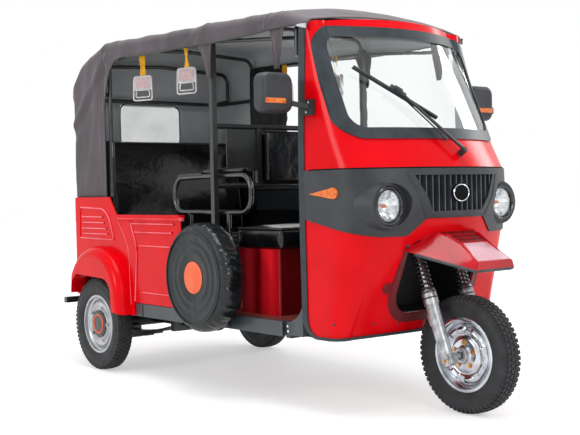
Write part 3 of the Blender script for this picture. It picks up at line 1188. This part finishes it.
hood_wall.material_offset, hood_wall.material_offset_rim = 1, 0
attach(hood, "root")
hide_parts("canopy")

clear_vinyl = finish("clear_vinyl_sheet", "#e9ecec", "#fafbfb", 6.0,
    (16.0, 4.0, 0.004, 0.5), Roughness=0.25, IOR=1.1, Transmission_Weight=0.75)
bm = bmesh.new()
WINDOW_LAP = 0.012
film_columns = []
for j in range(49):
    x = (WINDOW_HALF + WINDOW_LAP) * math.sin(math.pi / 2 * (j / 24 - 1))
    inset = max(0.0, abs(x) - (WINDOW_HALF - WINDOW_BEND))
    reach = WINDOW_BEND + WINDOW_LAP
    cut = reach - math.sqrt(max(0.0, reach ** 2 - inset ** 2))
    low_z, high_z = WINDOW_LOW - WINDOW_LAP + cut, WINDOW_HIGH + WINDOW_LAP - cut
    film_columns.append([])
    for k in range(25):
        z = low_z + (high_z - low_z) * k / 24
        back = BACK_START + BACK_REACH * back_lean(z) + 0.0115 + 0.002 * ripple(x, 0, z, 0.12, 44.0)
        film_columns[-1].append(bm.verts.new((x, back + FRONT_Y, z)))
bridge(bm, film_columns)
bmesh.ops.remove_doubles(bm, verts=bm.verts, dist=0.0005)
film_area = sum(face.calc_area() for face in bm.faces)
film = put("rear_window_film", from_bmesh("rear_window_film", bm), clear_vinyl, "root", "clear_vinyl", "rear_window",
    sharp=0)
thicken(film, 0.0015)
binding_line = []
for step in range(72):
    angle = 2 * math.pi * step / 72
    reach = 0.4
    while window_gap(reach * math.cos(angle), (WINDOW_LOW + WINDOW_HIGH) / 2 + reach * math.sin(angle)) > 0.0:
        reach -= 0.001
    x, z = reach * math.cos(angle), (WINDOW_LOW + WINDOW_HIGH) / 2 + reach * math.sin(angle)
    binding_line.append((x, BACK_START + BACK_REACH * back_lean(z) + FRONT_Y + 0.004, z))
rope("rear_window_binding", binding_line, 0.0042, welt_vinyl, "root", "seat_vinyl", closed=True)

# ---------------------------------------------------------------- hem binding
# Black webbing folded over the hem and sewn; it runs along both sides and down behind the rear posts.
for side, hand in SIDES:
    hem_points = [(0.448 + 0.0205 * i) for i in range(84)]
    hem_points = [(hand * (eased(HOOD_STATIONS, y, 1) + 0.0005 + 0.0045 * ripple(0, y, 0, 0.11, 5.5)), y + FRONT_Y,
        between(HEM_LINE, y) - 0.001) for y in hem_points]
    hem_points += [(hand * 0.5265, 2.1705 + FRONT_Y, z) for z in (1.47, 1.4, 1.3, 1.2, 1.1, 1.0, 0.955)]
    rope(f"hem_binding_{side}", hem_points, 0.0042, welt_vinyl, "root", "seat_vinyl")

# ---------------------------------------------------------------- swages on the tub's sides
# Raised beads rolled into the side sheets keep them from drumming; the polished tops of the beads
# are brighter than the flat paint.
bead_red = finish("polished_red_enamel", "#f0485a", "#fb8492", 5.0, Roughness=0.18, Specular_IOR_Level=0.35)
TUB_SKIN = 0.5468
# columns: height, start and end behind the front axle
SWAGES = [
    (0.814, 1.459, 1.867), (0.769, 1.476, 1.844), (0.698, 1.494, 1.807), (0.452, 1.489, 1.775),
    (0.848, 2.19, 2.428), (0.816, 2.172, 2.42), (0.783, 2.147, 2.424), (0.753, 2.131, 2.416),
]
QUARTER_BORDER = [(2.44, 0.902), (2.185, 0.893), (2.123, 0.857), (2.062, 0.722), (2.45, 0.728)]
LEDGE = [(1.387 + 0.063 * step, 0.84) for step in range(11)]
PILLAR_EDGE = [(1.893, 0.38), (1.907, 0.679), (1.97, 0.772), (2.02, 0.826)]
DOOR_EDGE = [(1.854, 0.4), (1.823, 0.681), (1.86, 0.765), (1.885, 0.822)]
for side, hand in SIDES:
    for number, (z, start, end) in enumerate(SWAGES):
        line = [(hand * TUB_SKIN, start + FRONT_Y + (end - start) * step / 6, z) for step in range(7)]
        rope(f"swage_{side}_{number}", line, 0.0042, bead_red, "root", "red_body")
    rail = [(hand * (TUB_SKIN - 0.003), y + FRONT_Y, z) for y, z in LEDGE]
    rope(f"tub_ledge_{side}", rail, 0.0105, bead_red, "root", "red_body")
    for label, corners, bend in (("border", QUARTER_BORDER, 0.035), ("pillar", PILLAR_EDGE, 0.05),
            ("door", DOOR_EDGE, 0.05)):
        line = rounded_path([(hand * (TUB_SKIN + 0.001), y + FRONT_Y, z) for y, z in corners], bend, closed=False)
        rope(f"swage_{side}_{label}", line, 0.0038, bead_red, "root", "red_body")

# ---------------------------------------------------------------- sill joints and screws
# The sill is in three lengths with a dark gap at each joint, screwed up from below and at its
# front corner.
zinc = finish("zinc_plated_steel", "#b4b7ba", "#d3d5d7", 40.0, Metallic=1.0, Roughness=0.35)
SILL_SKIN = 0.5135
for side, hand in SIDES:
    for number, (y, out, low, high) in enumerate(((0.632, SILL_SKIN, 0.326, 0.388), (1.032, SILL_SKIN, 0.326, 0.388),
            (1.782, 0.5455, 0.324, 0.386))):
        bm = bmesh.new()
        block(bm, (hand * out - 0.0012, y - 1.2225, low), (hand * out + 0.0012, y - 1.2175, high))
        put(f"sill_gap_{side}_{number}", from_bmesh("sill_gap", bm, smooth=False), void_black, "root",
            "black_plastic", sharp=0)
    for number, (y, z) in enumerate(((0.6, 0.371), (0.597, 0.349))):
        head = [(0.0, 0.0), (0.0, 0.0062), (-0.0022, 0.0058), (-0.0036, 0.0035), (-0.004, 0.0)]
        fitting(f"sill_screw_{side}_{number}", head, (hand * (SILL_SKIN - 0.001), y + FRONT_Y, z), (hand, 0, 0), zinc,
            "chrome_steel")

# ---------------------------------------------------------------- driver's seat box
# Folded steel wrapped in glossy red vinyl; the wrap falls in soft upright folds.
box_low, box_high = node_box("driver_seat_box")
BOX_FRONT, BOX_BACK = box_low.y, box_high.y
box_vinyl, box_shader, box_place = new_finish("glossy_red_vinyl_wrap", Roughness=0.2, Specular_IOR_Level=0.2)
stretched = add_node(box_vinyl, "ShaderNodeMapping", {"Vector": box_place, "Scale": (1.0, 1.0, 0.06)})
folds = cloud_of(box_vinyl, stretched.outputs["Vector"], 16.0, 2.0)
side_coords = add_node(box_vinyl, "ShaderNodeTexCoord")
side_place = add_node(box_vinyl, "ShaderNodeSeparateXYZ", {0: side_coords.outputs["Object"]})
side_facing = add_node(box_vinyl, "ShaderNodeSeparateXYZ", {0: side_coords.outputs["Normal"]})
wander = add_node(box_vinyl, "ShaderNodeMath", {0: folds, 1: 0.07, 2: side_place.outputs["Y"]},
    operation="MULTIPLY_ADD")
along = add_node(box_vinyl, "ShaderNodeMapRange",
    {"Value": wander.outputs[0], "From Min": BOX_FRONT + 0.035, "From Max": BOX_BACK + 0.035})
shades = add_node(box_vinyl, "ShaderNodeValToRGB", {0: along.outputs[0]})
# columns: share of the way from the front corner to the back, colour
SHEEN = [(0.0, "#a30a16"), (0.1, "#c8121f"), (0.17, "#f0202c"), (0.38, "#e51a26"), (0.45, "#7c0610"),
    (0.52, "#8e0812"), (0.6, "#d92430"), (0.74, "#e0303a"), (0.82, "#b81420"), (1.0, "#a8101c")]
while len(shades.color_ramp.elements) < len(SHEEN):
    shades.color_ramp.elements.new(0.5)
for stop, (share, hue) in zip(shades.color_ramp.elements, SHEEN):
    stop.position, stop.color = share, linear(hue)
frontal = add_node(box_vinyl, "ShaderNodeMath", {0: side_facing.outputs["Y"], 1: -0.6}, operation="LESS_THAN")
second_colour(box_vinyl, box_shader, frontal, shades.outputs["Color"], "#7a0d16")
relief(box_vinyl, box_shader, folds, 0.012, 0.5)
dress(box_vinyl, "driver_seat_box")

# ---------------------------------------------------------------- armrest tubes
# Bent 24 mm tube under gloss black enamel, with a ball-ended pad above each.
gloss_tube = sprayed_enamel("gloss_black_tube_enamel", "#121417", "#1c1f23", 0.16, 0.5)
dress(gloss_tube, "armrest_rails")

# ---------------------------------------------------------------- spare wheel cover
# Black vinyl cloth sewn to a round face and drawn in by a cord at the back, so its side wall lies
# in pleats. The face shows the tyre's rings through it and carries a plain orange disc.
cover_vinyl = finish("crumpled_black_vinyl", "#1b2021", "#2b3133", 9.0,
    (24.0, 4.0, 0.006, 0.7), (200.0, 2.0, 0.0004, 0.5), Roughness=0.45, Specular_IOR_Level=0.3)
pleat_vinyl = finish("glossy_black_vinyl_wall", "#0b1012", "#171d20", 9.0,
    (30.0, 4.0, 0.006, 0.6), Roughness=0.22, Specular_IOR_Level=0.4)
COVER_Y, COVER_Z, COVER_OUT = 1.13 + FRONT_Y, 0.569, -0.662
# rows from the middle of the face round to the cord: x, radius, how deep the pleats are there
COVER_ROWS = [
    (0.007, 0.001, 0), (0.007, 0.078, 0), (0.005, 0.081, 0), (0.005, 0.112, 0), (0.0028, 0.116, 0), (0.003, 0.121, 0),
    (0.0052, 0.125, 0), (0.0046, 0.15, 0), (0.0022, 0.155, 0), (0.0024, 0.161, 0), (0.005, 0.166, 0), (0.0042, 0.19,
        0.0004),
    (0.001, 0.1985, 0.0006), (0.0006, 0.2055, 0.0008), (0.004, 0.212, 0.001), (0.0042, 0.217, 0.001), (0.001, 0.223,
        0.001),
    (0.006, 0.233, 0.0025), (0.014, 0.243, 0.0045), (0.025, 0.25, 0.006), (0.038, 0.254, 0.0068), (0.052, 0.2555,
        0.0072),
    (0.066, 0.256, 0.0072), (0.08, 0.256, 0.0072), (0.094, 0.2555, 0.007), (0.108, 0.253, 0.007), (0.12, 0.248, 0.0066),
    (0.13, 0.24, 0.006), (0.138, 0.228, 0.005), (0.143, 0.213, 0.003), (0.1445, 0.195, 0.0), (0.1445, 0.001, 0.0),
]
PLEAT_STEPS = 480
bm = bmesh.new()
rows = []
for x, radius, deep in COVER_ROWS:
    row = []
    for step in range(PLEAT_STEPS):
        angle = 2 * math.pi * step / PLEAT_STEPS
        slant = angle + 1.1 * (x - 0.02)
        around = Vector((math.cos(slant) * 5.2, math.sin(slant) * 5.2, x * 3.0))
        fine = Vector((math.cos(slant) * 13.0, math.sin(slant) * 13.0, x * 5.0))
        fold = 1.0 - abs(noise.noise(around)) * 2.4 - 0.5 * abs(noise.noise(fine)) * 2.0
        r = radius + deep * fold + (0.0016 * noise.noise(Vector((radius * 30, math.cos(angle) * 2.5,
            math.sin(angle) * 2.5))) if 0.08 < radius < 0.25 else 0)
        bulge = 0.0012 * noise.noise(Vector((math.cos(angle) * radius * 16, math.sin(angle) * radius * 16,
            4.0))) if radius > 0.085 and x < 0.01 else 0
        row.append(bm.verts.new((COVER_OUT + x + bulge, COVER_Y + r * math.sin(angle), COVER_Z + r * math.cos(angle))))
    rows.append(row)
bridge(bm, rows, around=True, ends=True)
cover = put("spare_cover_cloth", from_bmesh("spare_cover_cloth", bm), cover_vinyl, "root", "cover_vinyl",
    "spare_cover", sharp=0)
cover.data.materials.append(pleat_vinyl)
for face in cover.data.polygons:
    if face.center.x > COVER_OUT + 0.011:
        face.material_index = 1
orange = finish("orange_screen_print", "#f6673c", "#ff7a4e", 14.0, Roughness=0.55)
badge = [(0.006, 0.0), (0.006, 0.075), (0.0046, 0.0765), (0.0034, 0.074), (0.003, 0.0)]
put("spare_cover_disc", turned("spare_cover_disc", [(COVER_OUT + 0.0005 + x, r) for x, r in badge],
    (0, COVER_Y, COVER_Z), 72, closed=False), orange, "root", "amber")
seam_ring = [(COVER_OUT - 0.0005, COVER_Y + 0.2235 * math.sin(a * math.pi / 60),
    COVER_Z + 0.2235 * math.cos(a * math.pi / 60)) for a in range(120)]
rope("spare_cover_seam", seam_ring, 0.003, cover_vinyl, "root", "cover_vinyl", closed=True)

# ---------------------------------------------------------------- rear rims
# Rolled steel in silver wheel paint: a flanged well and a pressed disc with a black hub cap, which
# has one plain orange ring painted round its middle.
RIM_DISC = [
    (0.006, 0.139), (0.008, 0.133), (0.015, 0.127), (0.024, 0.121), (0.027, 0.113), (0.0255, 0.102), (0.021, 0.093),
    (0.019, 0.086), (0.0215, 0.08), (0.025, 0.074), (0.025, 0.03), (0.0225, 0.03), (0.0225, 0.073), (0.019, 0.078),
    (0.0165, 0.085), (0.0185, 0.093), (0.023, 0.103), (0.0243, 0.1125), (0.0215, 0.12), (0.013, 0.1255), (0.0055,
        0.132), (0.0035, 0.139),
]
HUB_CAP = [(0.024, 0.0), (0.024, 0.074), (0.0265, 0.0765), (0.03, 0.075), (0.0325, 0.068), (0.0315, 0.054),
    (0.0335, 0.038), (0.034, 0.0)]
for side, hand in SIDES:
    body, centre = f"rear_wheel_{side}", (hand * 0.556, REAR_Y, WHEEL_Z)
    put(f"rear_rim_well_{side}", turned("rear_rim_well", [(-hand * x, r) for x, r in WELL], centre, 112), wheel_paint,
        body, "rim_silver", f"rear_{side}_rim")
    put(f"rear_rim_disc_{side}", turned("rear_rim_disc", [(hand * x, r) for x, r in RIM_DISC], centre, 112),
        wheel_paint, body, "rim_silver")
    put(f"rear_hub_cap_{side}", turned("rear_hub_cap", [(hand * x, r) for x, r in HUB_CAP], centre, 72, closed=False),
        black_enamel, body, "black_steel")
    turns = [2 * math.pi * step / 72 for step in range(72)]
    painted_ring = [(hand * (0.556 + 0.0325), REAR_Y + 0.05 * math.sin(turn),
        WHEEL_Z + 0.05 * math.cos(turn)) for turn in turns]
    rope(f"rear_hub_ring_{side}", painted_ring, 0.0045, orange, body, "amber", closed=True)
    nut = nut_mesh("rear_wheel_nut", 0.017, 0.008, (-0.0265, 0.0, 0.093), 0.0)
    if hand > 0:
        for vertex in nut.vertices:
            vertex.co.x *= -1
        nut.flip_normals()
    grown_nuts = grow(f"rear_wheel_nuts_{side}", ring_tree, nut, zinc, Count=5, Start=0.3, Centre=centre)
    put(f"rear_wheel_nuts_{side}", grown_nuts, zinc, body, "rim_silver", sharp=0)

# ---------------------------------------------------------------- door mirrors
# Moulded shells on steel arms; each shell has an amber repeater let into it, and each arm's plate
# is held by two bright screws.
# columns: piece, its ends in x, its front low and rear high edge in y and z, finish and slot
REPEATER = [
    ("mirror_repeater", (0.612, 0.722), (-0.767, 1.342), (-0.759, 1.364), amber, "amber"),
    ("mirror_repeater_frame", (0.604, 0.73), (-0.7655, 1.337), (-0.76, 1.369), mask_plastic, "dark_mask"),
]
for side, hand in SIDES:
    for label, ends_x, front, rear, material, finish_slot in REPEATER:
        bm = bmesh.new()
        low, high = sorted(hand * x for x in ends_x)
        block(bm, (low, *front), (high, *rear), 0.002)
        put(f"{label}_{side}", from_bmesh(label, bm), material, "root", finish_slot)
    for number, (y, z) in enumerate(((0.432, 1.348), (0.446, 1.308))):
        head = [(0.0, 0.0), (0.0, 0.006), (-0.0022, 0.0055), (-0.0036, 0.0032), (-0.004, 0.0)]
        fitting(f"mirror_screw_{side}_{number}", head, (hand * 0.5085, y + FRONT_Y, z), (hand, 0, 0), zinc,
            "chrome_steel")

# ---------------------------------------------------------------- hand grips
# Clear acrylic cards with a slot to hold, hung from the roof rails on yellow polypropylene webbing.
webbing, webbing_shader, webbing_place = new_finish("yellow_polypropylene_webbing", Roughness=0.6)
mottle(webbing, webbing_shader, webbing_place, "#f2a200", "#ffc60c", 70.0)
weave = add_node(webbing, "ShaderNodeTexWave", {"Vector": webbing_place, "Scale": 90.0, "Distortion": 1.0},
    bands_direction="Z")
relief(webbing, webbing_shader, weave.outputs["Fac"], 0.0008, 0.6)
card_clear = finish("clear_acrylic_card", "#e8e6e8", "#f7f6f7", 30.0,
    Roughness=0.12, IOR=1.4, Transmission_Weight=0.45, Coat_Weight=0.3)
card_pink = finish("pink_printed_card", "#b99a9c", "#cdb2b3", 60.0, Roughness=0.35)
# columns: side, distance behind the front axle, how far the card has turned about its strap
GRIPS = [(-1, 1.436, 0.3), (-1, 1.862, 0.38), (1, 1.34, -0.2), (1, 1.8, 0.15)]
for number, (hand, y, twist) in enumerate(GRIPS):
    centre = Vector((hand * 0.464, y + FRONT_Y, 0.0))
    swing = Matrix.Rotation(twist, 3, "Z")

    def hung(along, up, out=0.0):
        """Point of the card's own plane: along the vehicle, up and out from its middle."""
        return centre + swing @ Vector((out, along, 0)) + Vector((0, 0, up))

    bm = bmesh.new()
    ribbon = []
    for step in range(22):
        t = step / 21
        z = 1.712 - (1.712 - 1.604) * t
        spin = twist + 0.5 * math.sin(math.pi * t) * (1 if number % 2 else -1)
        half = 0.0165 - 0.0045 * math.exp(-((t - 0.55) / 0.16) ** 2)
        turned_by = Matrix.Rotation(spin, 3, "Z")
        ribbon.append([bm.verts.new(centre + turned_by @ Vector((off, a * half,
            0)) + Vector((0.004 * math.sin(2.6 * t), 0.003 * math.sin(4 * t), z))) for a, off in ((-1, -0.0012), (1,
            -0.0012), (1, 0.0012), (-1, 0.0012))])
    bridge(bm, ribbon, around=True, ends=True)
    strap = put(f"grip_strap_{number}", from_bmesh("grip_strap", bm), webbing, "root", "clear_grip",
        *(["hand_grips"] if number == 0 else []))
    # card: a frame with a printed panel above and an open slot below
    outer = rounded_path([hung(-0.058, 1.601), hung(0.058, 1.601), hung(0.062, 1.474), hung(-0.062, 1.474)], 0.016)
    rope(f"grip_edge_{number}", outer, 0.0046, card_clear, "root", "clear_grip", closed=True)
    slot = rounded_path([hung(-0.042, 1.528), hung(0.042, 1.528), hung(0.046, 1.49), hung(-0.046, 1.49)], 0.012)
    rope(f"grip_slot_{number}", slot, 0.004, card_clear, "root", "clear_grip", closed=True)
    for label, low_z, high_z, half, thick, card in (("panel", 1.54, 1.594, 0.046, 0.002, card_pink),
            ("pane", 1.528, 1.6, 0.056, 0.0009, card_clear)):
        bm = bmesh.new()
        corners = ((-half, low_z), (half, low_z), (half, high_z), (-half, high_z))
        faces = [[bm.verts.new(hung(along, z, out * thick)) for along, z in corners] for out in (-1, 1)]
        bridge(bm, faces, around=True, ends=True)
        put(f"grip_{label}_{number}", from_bmesh(f"grip_{label}", bm, smooth=False), card, "root", "clear_grip",
            sharp=0)

# ---------------------------------------------------------------- canvas tails and rolled curtain
# Tapered tails of the canopy's cloth hang at the posts to be tied round them, and on the closed
# side the black curtain is gathered behind the rear hoop.
# columns: top station range, height of the top, station and height of the tip
TAILS = [(0.55, 0.69, 1.712, 0.628, 1.512, 0.016), (1.118, 1.262, 1.7, 1.158, 1.52, 0.012)]
for side, hand in SIDES:
    for number, (start, end, top, tip_y, tip_z, tip_half) in enumerate(TAILS):
        bm = bmesh.new()
        grid = []
        for down in range(19):
            t = down / 18
            row = []
            for over in range(13):
                s = over / 12
                left = start + (tip_y - tip_half - start) * t ** 0.7
                right = end + (tip_y + tip_half - end) * t ** 0.7
                y = left + (right - left) * s
                fold = 0.006 * math.cos(2 * math.pi * (1.5 * s + 0.3 * t)) * min(1.0, 3 * t) + 0.002 * ripple(y, t, 0,
                    0.05, number + 2.0)
                row.append(bm.verts.new((hand * (0.5215 + fold), y + FRONT_Y, top + (tip_z - top) * t)))
            grid.append(row)
        bridge(bm, grid)
        tail_area = sum(face.calc_area() for face in bm.faces)
        tail = put(f"canvas_tail_{side}_{number}", from_bmesh("canvas_tail", bm), canvas, "root", "canopy_cloth",
            sharp=0)
        thicken(tail, 0.002)
curtain_cloth = finish("black_curtain_cloth", "#151113", "#1f1a1c", 12.0, (14.0, 4.0, 0.006, 0.5), Roughness=0.7)
bm = bmesh.new()
grid = []
for down in range(31):
    row = []
    for over in range(41):
        s, t = over / 40, down / 30
        y = 1.802 + 0.35 * s
        ragged = 0.012 * ripple(0, 0, t, 0.09, 31.0) * (1 - s) ** 3
        z = 1.706 - 0.4 * t + 0.006 * math.sin(9 * s) * t
        off = 0.0042 * math.sin(2 * math.pi * (3.5 * s + 0.5 * t)) + 0.002 * ripple(0, s, t, 0.2, 12.0)
        row.append(bm.verts.new((0.473 + off, y + ragged + FRONT_Y, z)))
    grid.append(row)
bridge(bm, grid)
curtain_area = sum(face.calc_area() for face in bm.faces)
curtain = put("side_curtain_cloth", from_bmesh("side_curtain_cloth", bm), curtain_cloth, "root", "canopy_cloth",
    "side_curtain", sharp=0)
thicken(curtain, 0.002)

# ---------------------------------------------------------------- joints in the cab's front
# A dark gap is left between the red panel and the mask, and the mask is creased round the grille.
CAB_MIDDLE_Y, GAP_Z = -0.74, 1.0575
gap_line = []
for step in range(61):
    turn = math.radians(-86 + 172 * step / 60)
    outward = Vector((math.sin(turn), -math.cos(turn), 0))
    middle = Vector((0, CAB_MIDDLE_Y, GAP_Z))
    hit, _, _, _ = panel_tree.ray_cast(middle + outward * 2.0, -outward)
    gap_line.append(hit + outward * 0.0002)
rope("cab_gap", gap_line, 0.0034, void_black, "root", "black_plastic")
CREASE = [(-0.282, 1.04), (-0.185, 0.846), (0.185, 0.846), (0.282, 1.04)]
crease_line = []
for (x0, z0), (x1, z1) in zip(CREASE, CREASE[1:]):
    for step in range(16):
        hit, normal = on_panel(x0 + (x1 - x0) * step / 16, z0 + (z1 - z0) * step / 16)
        crease_line.append(hit - normal * 0.0008)
rope("mask_crease", crease_line, 0.004, mask_plastic, "root", "dark_mask")

# ---------------------------------------------------------------- plain studio
# A pale sweep of floor, soft boxes overhead and at both sides, and a camera at standing height off
# the right front corner, with a long lens.
FLOOR_HALF = 30.0
LIFT_NEAR = 0.46
floor_mesh = bpy.data.meshes.new("studio_floor")
corners = [(-FLOOR_HALF, -FLOOR_HALF, 0), (FLOOR_HALF, -FLOOR_HALF, 0), (FLOOR_HALF, FLOOR_HALF, 0),
    (-FLOOR_HALF, FLOOR_HALF, 0)]
floor_mesh.from_pydata(corners, [], [(0, 1, 2, 3)])
floor = bpy.data.objects.new("studio_floor", floor_mesh)
bpy.context.scene.collection.objects.link(floor)

# the floor is a white painted board; what the eye sees of it is lifted to the colour of the backdrop
floor_paint, floor_shader, floor_place = new_finish("white_floor_board", Roughness=0.6, Specular_IOR_Level=0.2)
floor_shader.inputs["Base Color"].default_value = linear("#e4e4e4")


def seen_directly(shaded):
    """1 for the rays that show the backdrop: from the eye, in a gloss or through glass."""
    rays = add_node(shaded, "ShaderNodeLightPath")
    seen = rays.outputs["Is Camera Ray"]
    for kind in ("Is Glossy Ray", "Is Transmission Ray"):
        seen = add_node(shaded, "ShaderNodeMath", {0: seen, 1: rays.outputs[kind]}, operation="MAXIMUM").outputs[0]
    return seen


reach = add_node(floor_paint, "ShaderNodeVectorMath", {0: floor_place}, operation="LENGTH")
fade = add_node(floor_paint, "ShaderNodeMapRange", {
    "Value": reach.outputs["Value"], "From Min": 2.6, "From Max": 7.5, "To Min": LIFT_NEAR, "To Max": 1.0})
lift = add_node(floor_paint, "ShaderNodeMath", {0: seen_directly(floor_paint), 1: fade.outputs[0]},
    operation="MULTIPLY")
glow = add_node(floor_paint, "ShaderNodeEmission", {"Color": (1, 1, 1, 1), "Strength": lift.outputs[0]})
both = add_node(floor_paint, "ShaderNodeAddShader", {0: floor_shader.outputs[0], 1: glow.outputs[0]})
out = floor_paint.node_tree.nodes["Material Output"]
floor_paint.node_tree.links.new(both.outputs[0], out.inputs["Surface"])
floor_mesh.materials.append(floor_paint)

AMBIENT = 0.55
world = bpy.data.worlds.new("studio")
bpy.context.scene.world = world
world.use_nodes = True
world.node_tree.nodes["Background"].inputs["Color"].default_value = (1, 1, 1, 1)
level = {0: seen_directly(world), 1: 1.0, 2: AMBIENT}
level = add_node(world, "ShaderNodeMath", level, operation="MULTIPLY_ADD", use_clamp=True)
world.node_tree.links.new(level.outputs[0], world.node_tree.nodes["Background"].inputs["Strength"])

# columns: name, place, point it faces, width, height, watts
SOFT_BOXES = [
    ("softbox_overhead", (-0.5, -0.6, 5.2), (0, 0, 0.8), 3.0, 3.4, 150),
    ("softbox_front", (-1.2, -6.4, 3.0), (0, -0.6, 0.9), 1.5, 1.6, 85),
    ("softbox_right", (-5.8, 0.4, 2.7), (0, 0.1, 0.8), 1.5, 1.8, 80),
    ("softbox_left", (5.5, -1.0, 3.2), (0, 0, 0.9), 1.5, 1.8, 60),
]
for name, place, target, width, height, watts in SOFT_BOXES:
    light = bpy.data.lights.new(name, "AREA")
    light.shape = "RECTANGLE"
    light.size, light.size_y = width, height
    light.energy = watts
    lamp = bpy.data.objects.new(name, light)
    bpy.context.scene.collection.objects.link(lamp)
    lamp.location = place
    lamp.rotation_euler = (Vector(target) - Vector(place)).to_track_quat("-Z", "Y").to_euler()

YAW, PITCH, ROLL = math.radians(-38.8776), math.radians(1.4284), math.radians(-1.2033)
ahead = Vector((-math.sin(YAW) * math.cos(PITCH), math.cos(YAW) * math.cos(PITCH), -math.sin(PITCH)))
level_right = Vector((math.cos(YAW), math.sin(YAW), 0))
level_up = level_right.cross(ahead)
right = math.cos(ROLL) * level_right + math.sin(ROLL) * level_up
up = -math.sin(ROLL) * level_right + math.cos(ROLL) * level_up
view = bpy.data.cameras.new("studio_camera")
view.sensor_width = 36.0
view.lens = 65.42
camera = bpy.data.objects.new("studio_camera", view)
bpy.context.scene.collection.objects.link(camera)
turn = Matrix((right, up, -ahead)).transposed().to_4x4()
camera.matrix_world = Matrix.Translation((-3.421, -4.2602, 0.9691)) @ turn
bpy.context.scene.camera = camera

bpy.context.scene.view_settings.view_transform = "Standard"
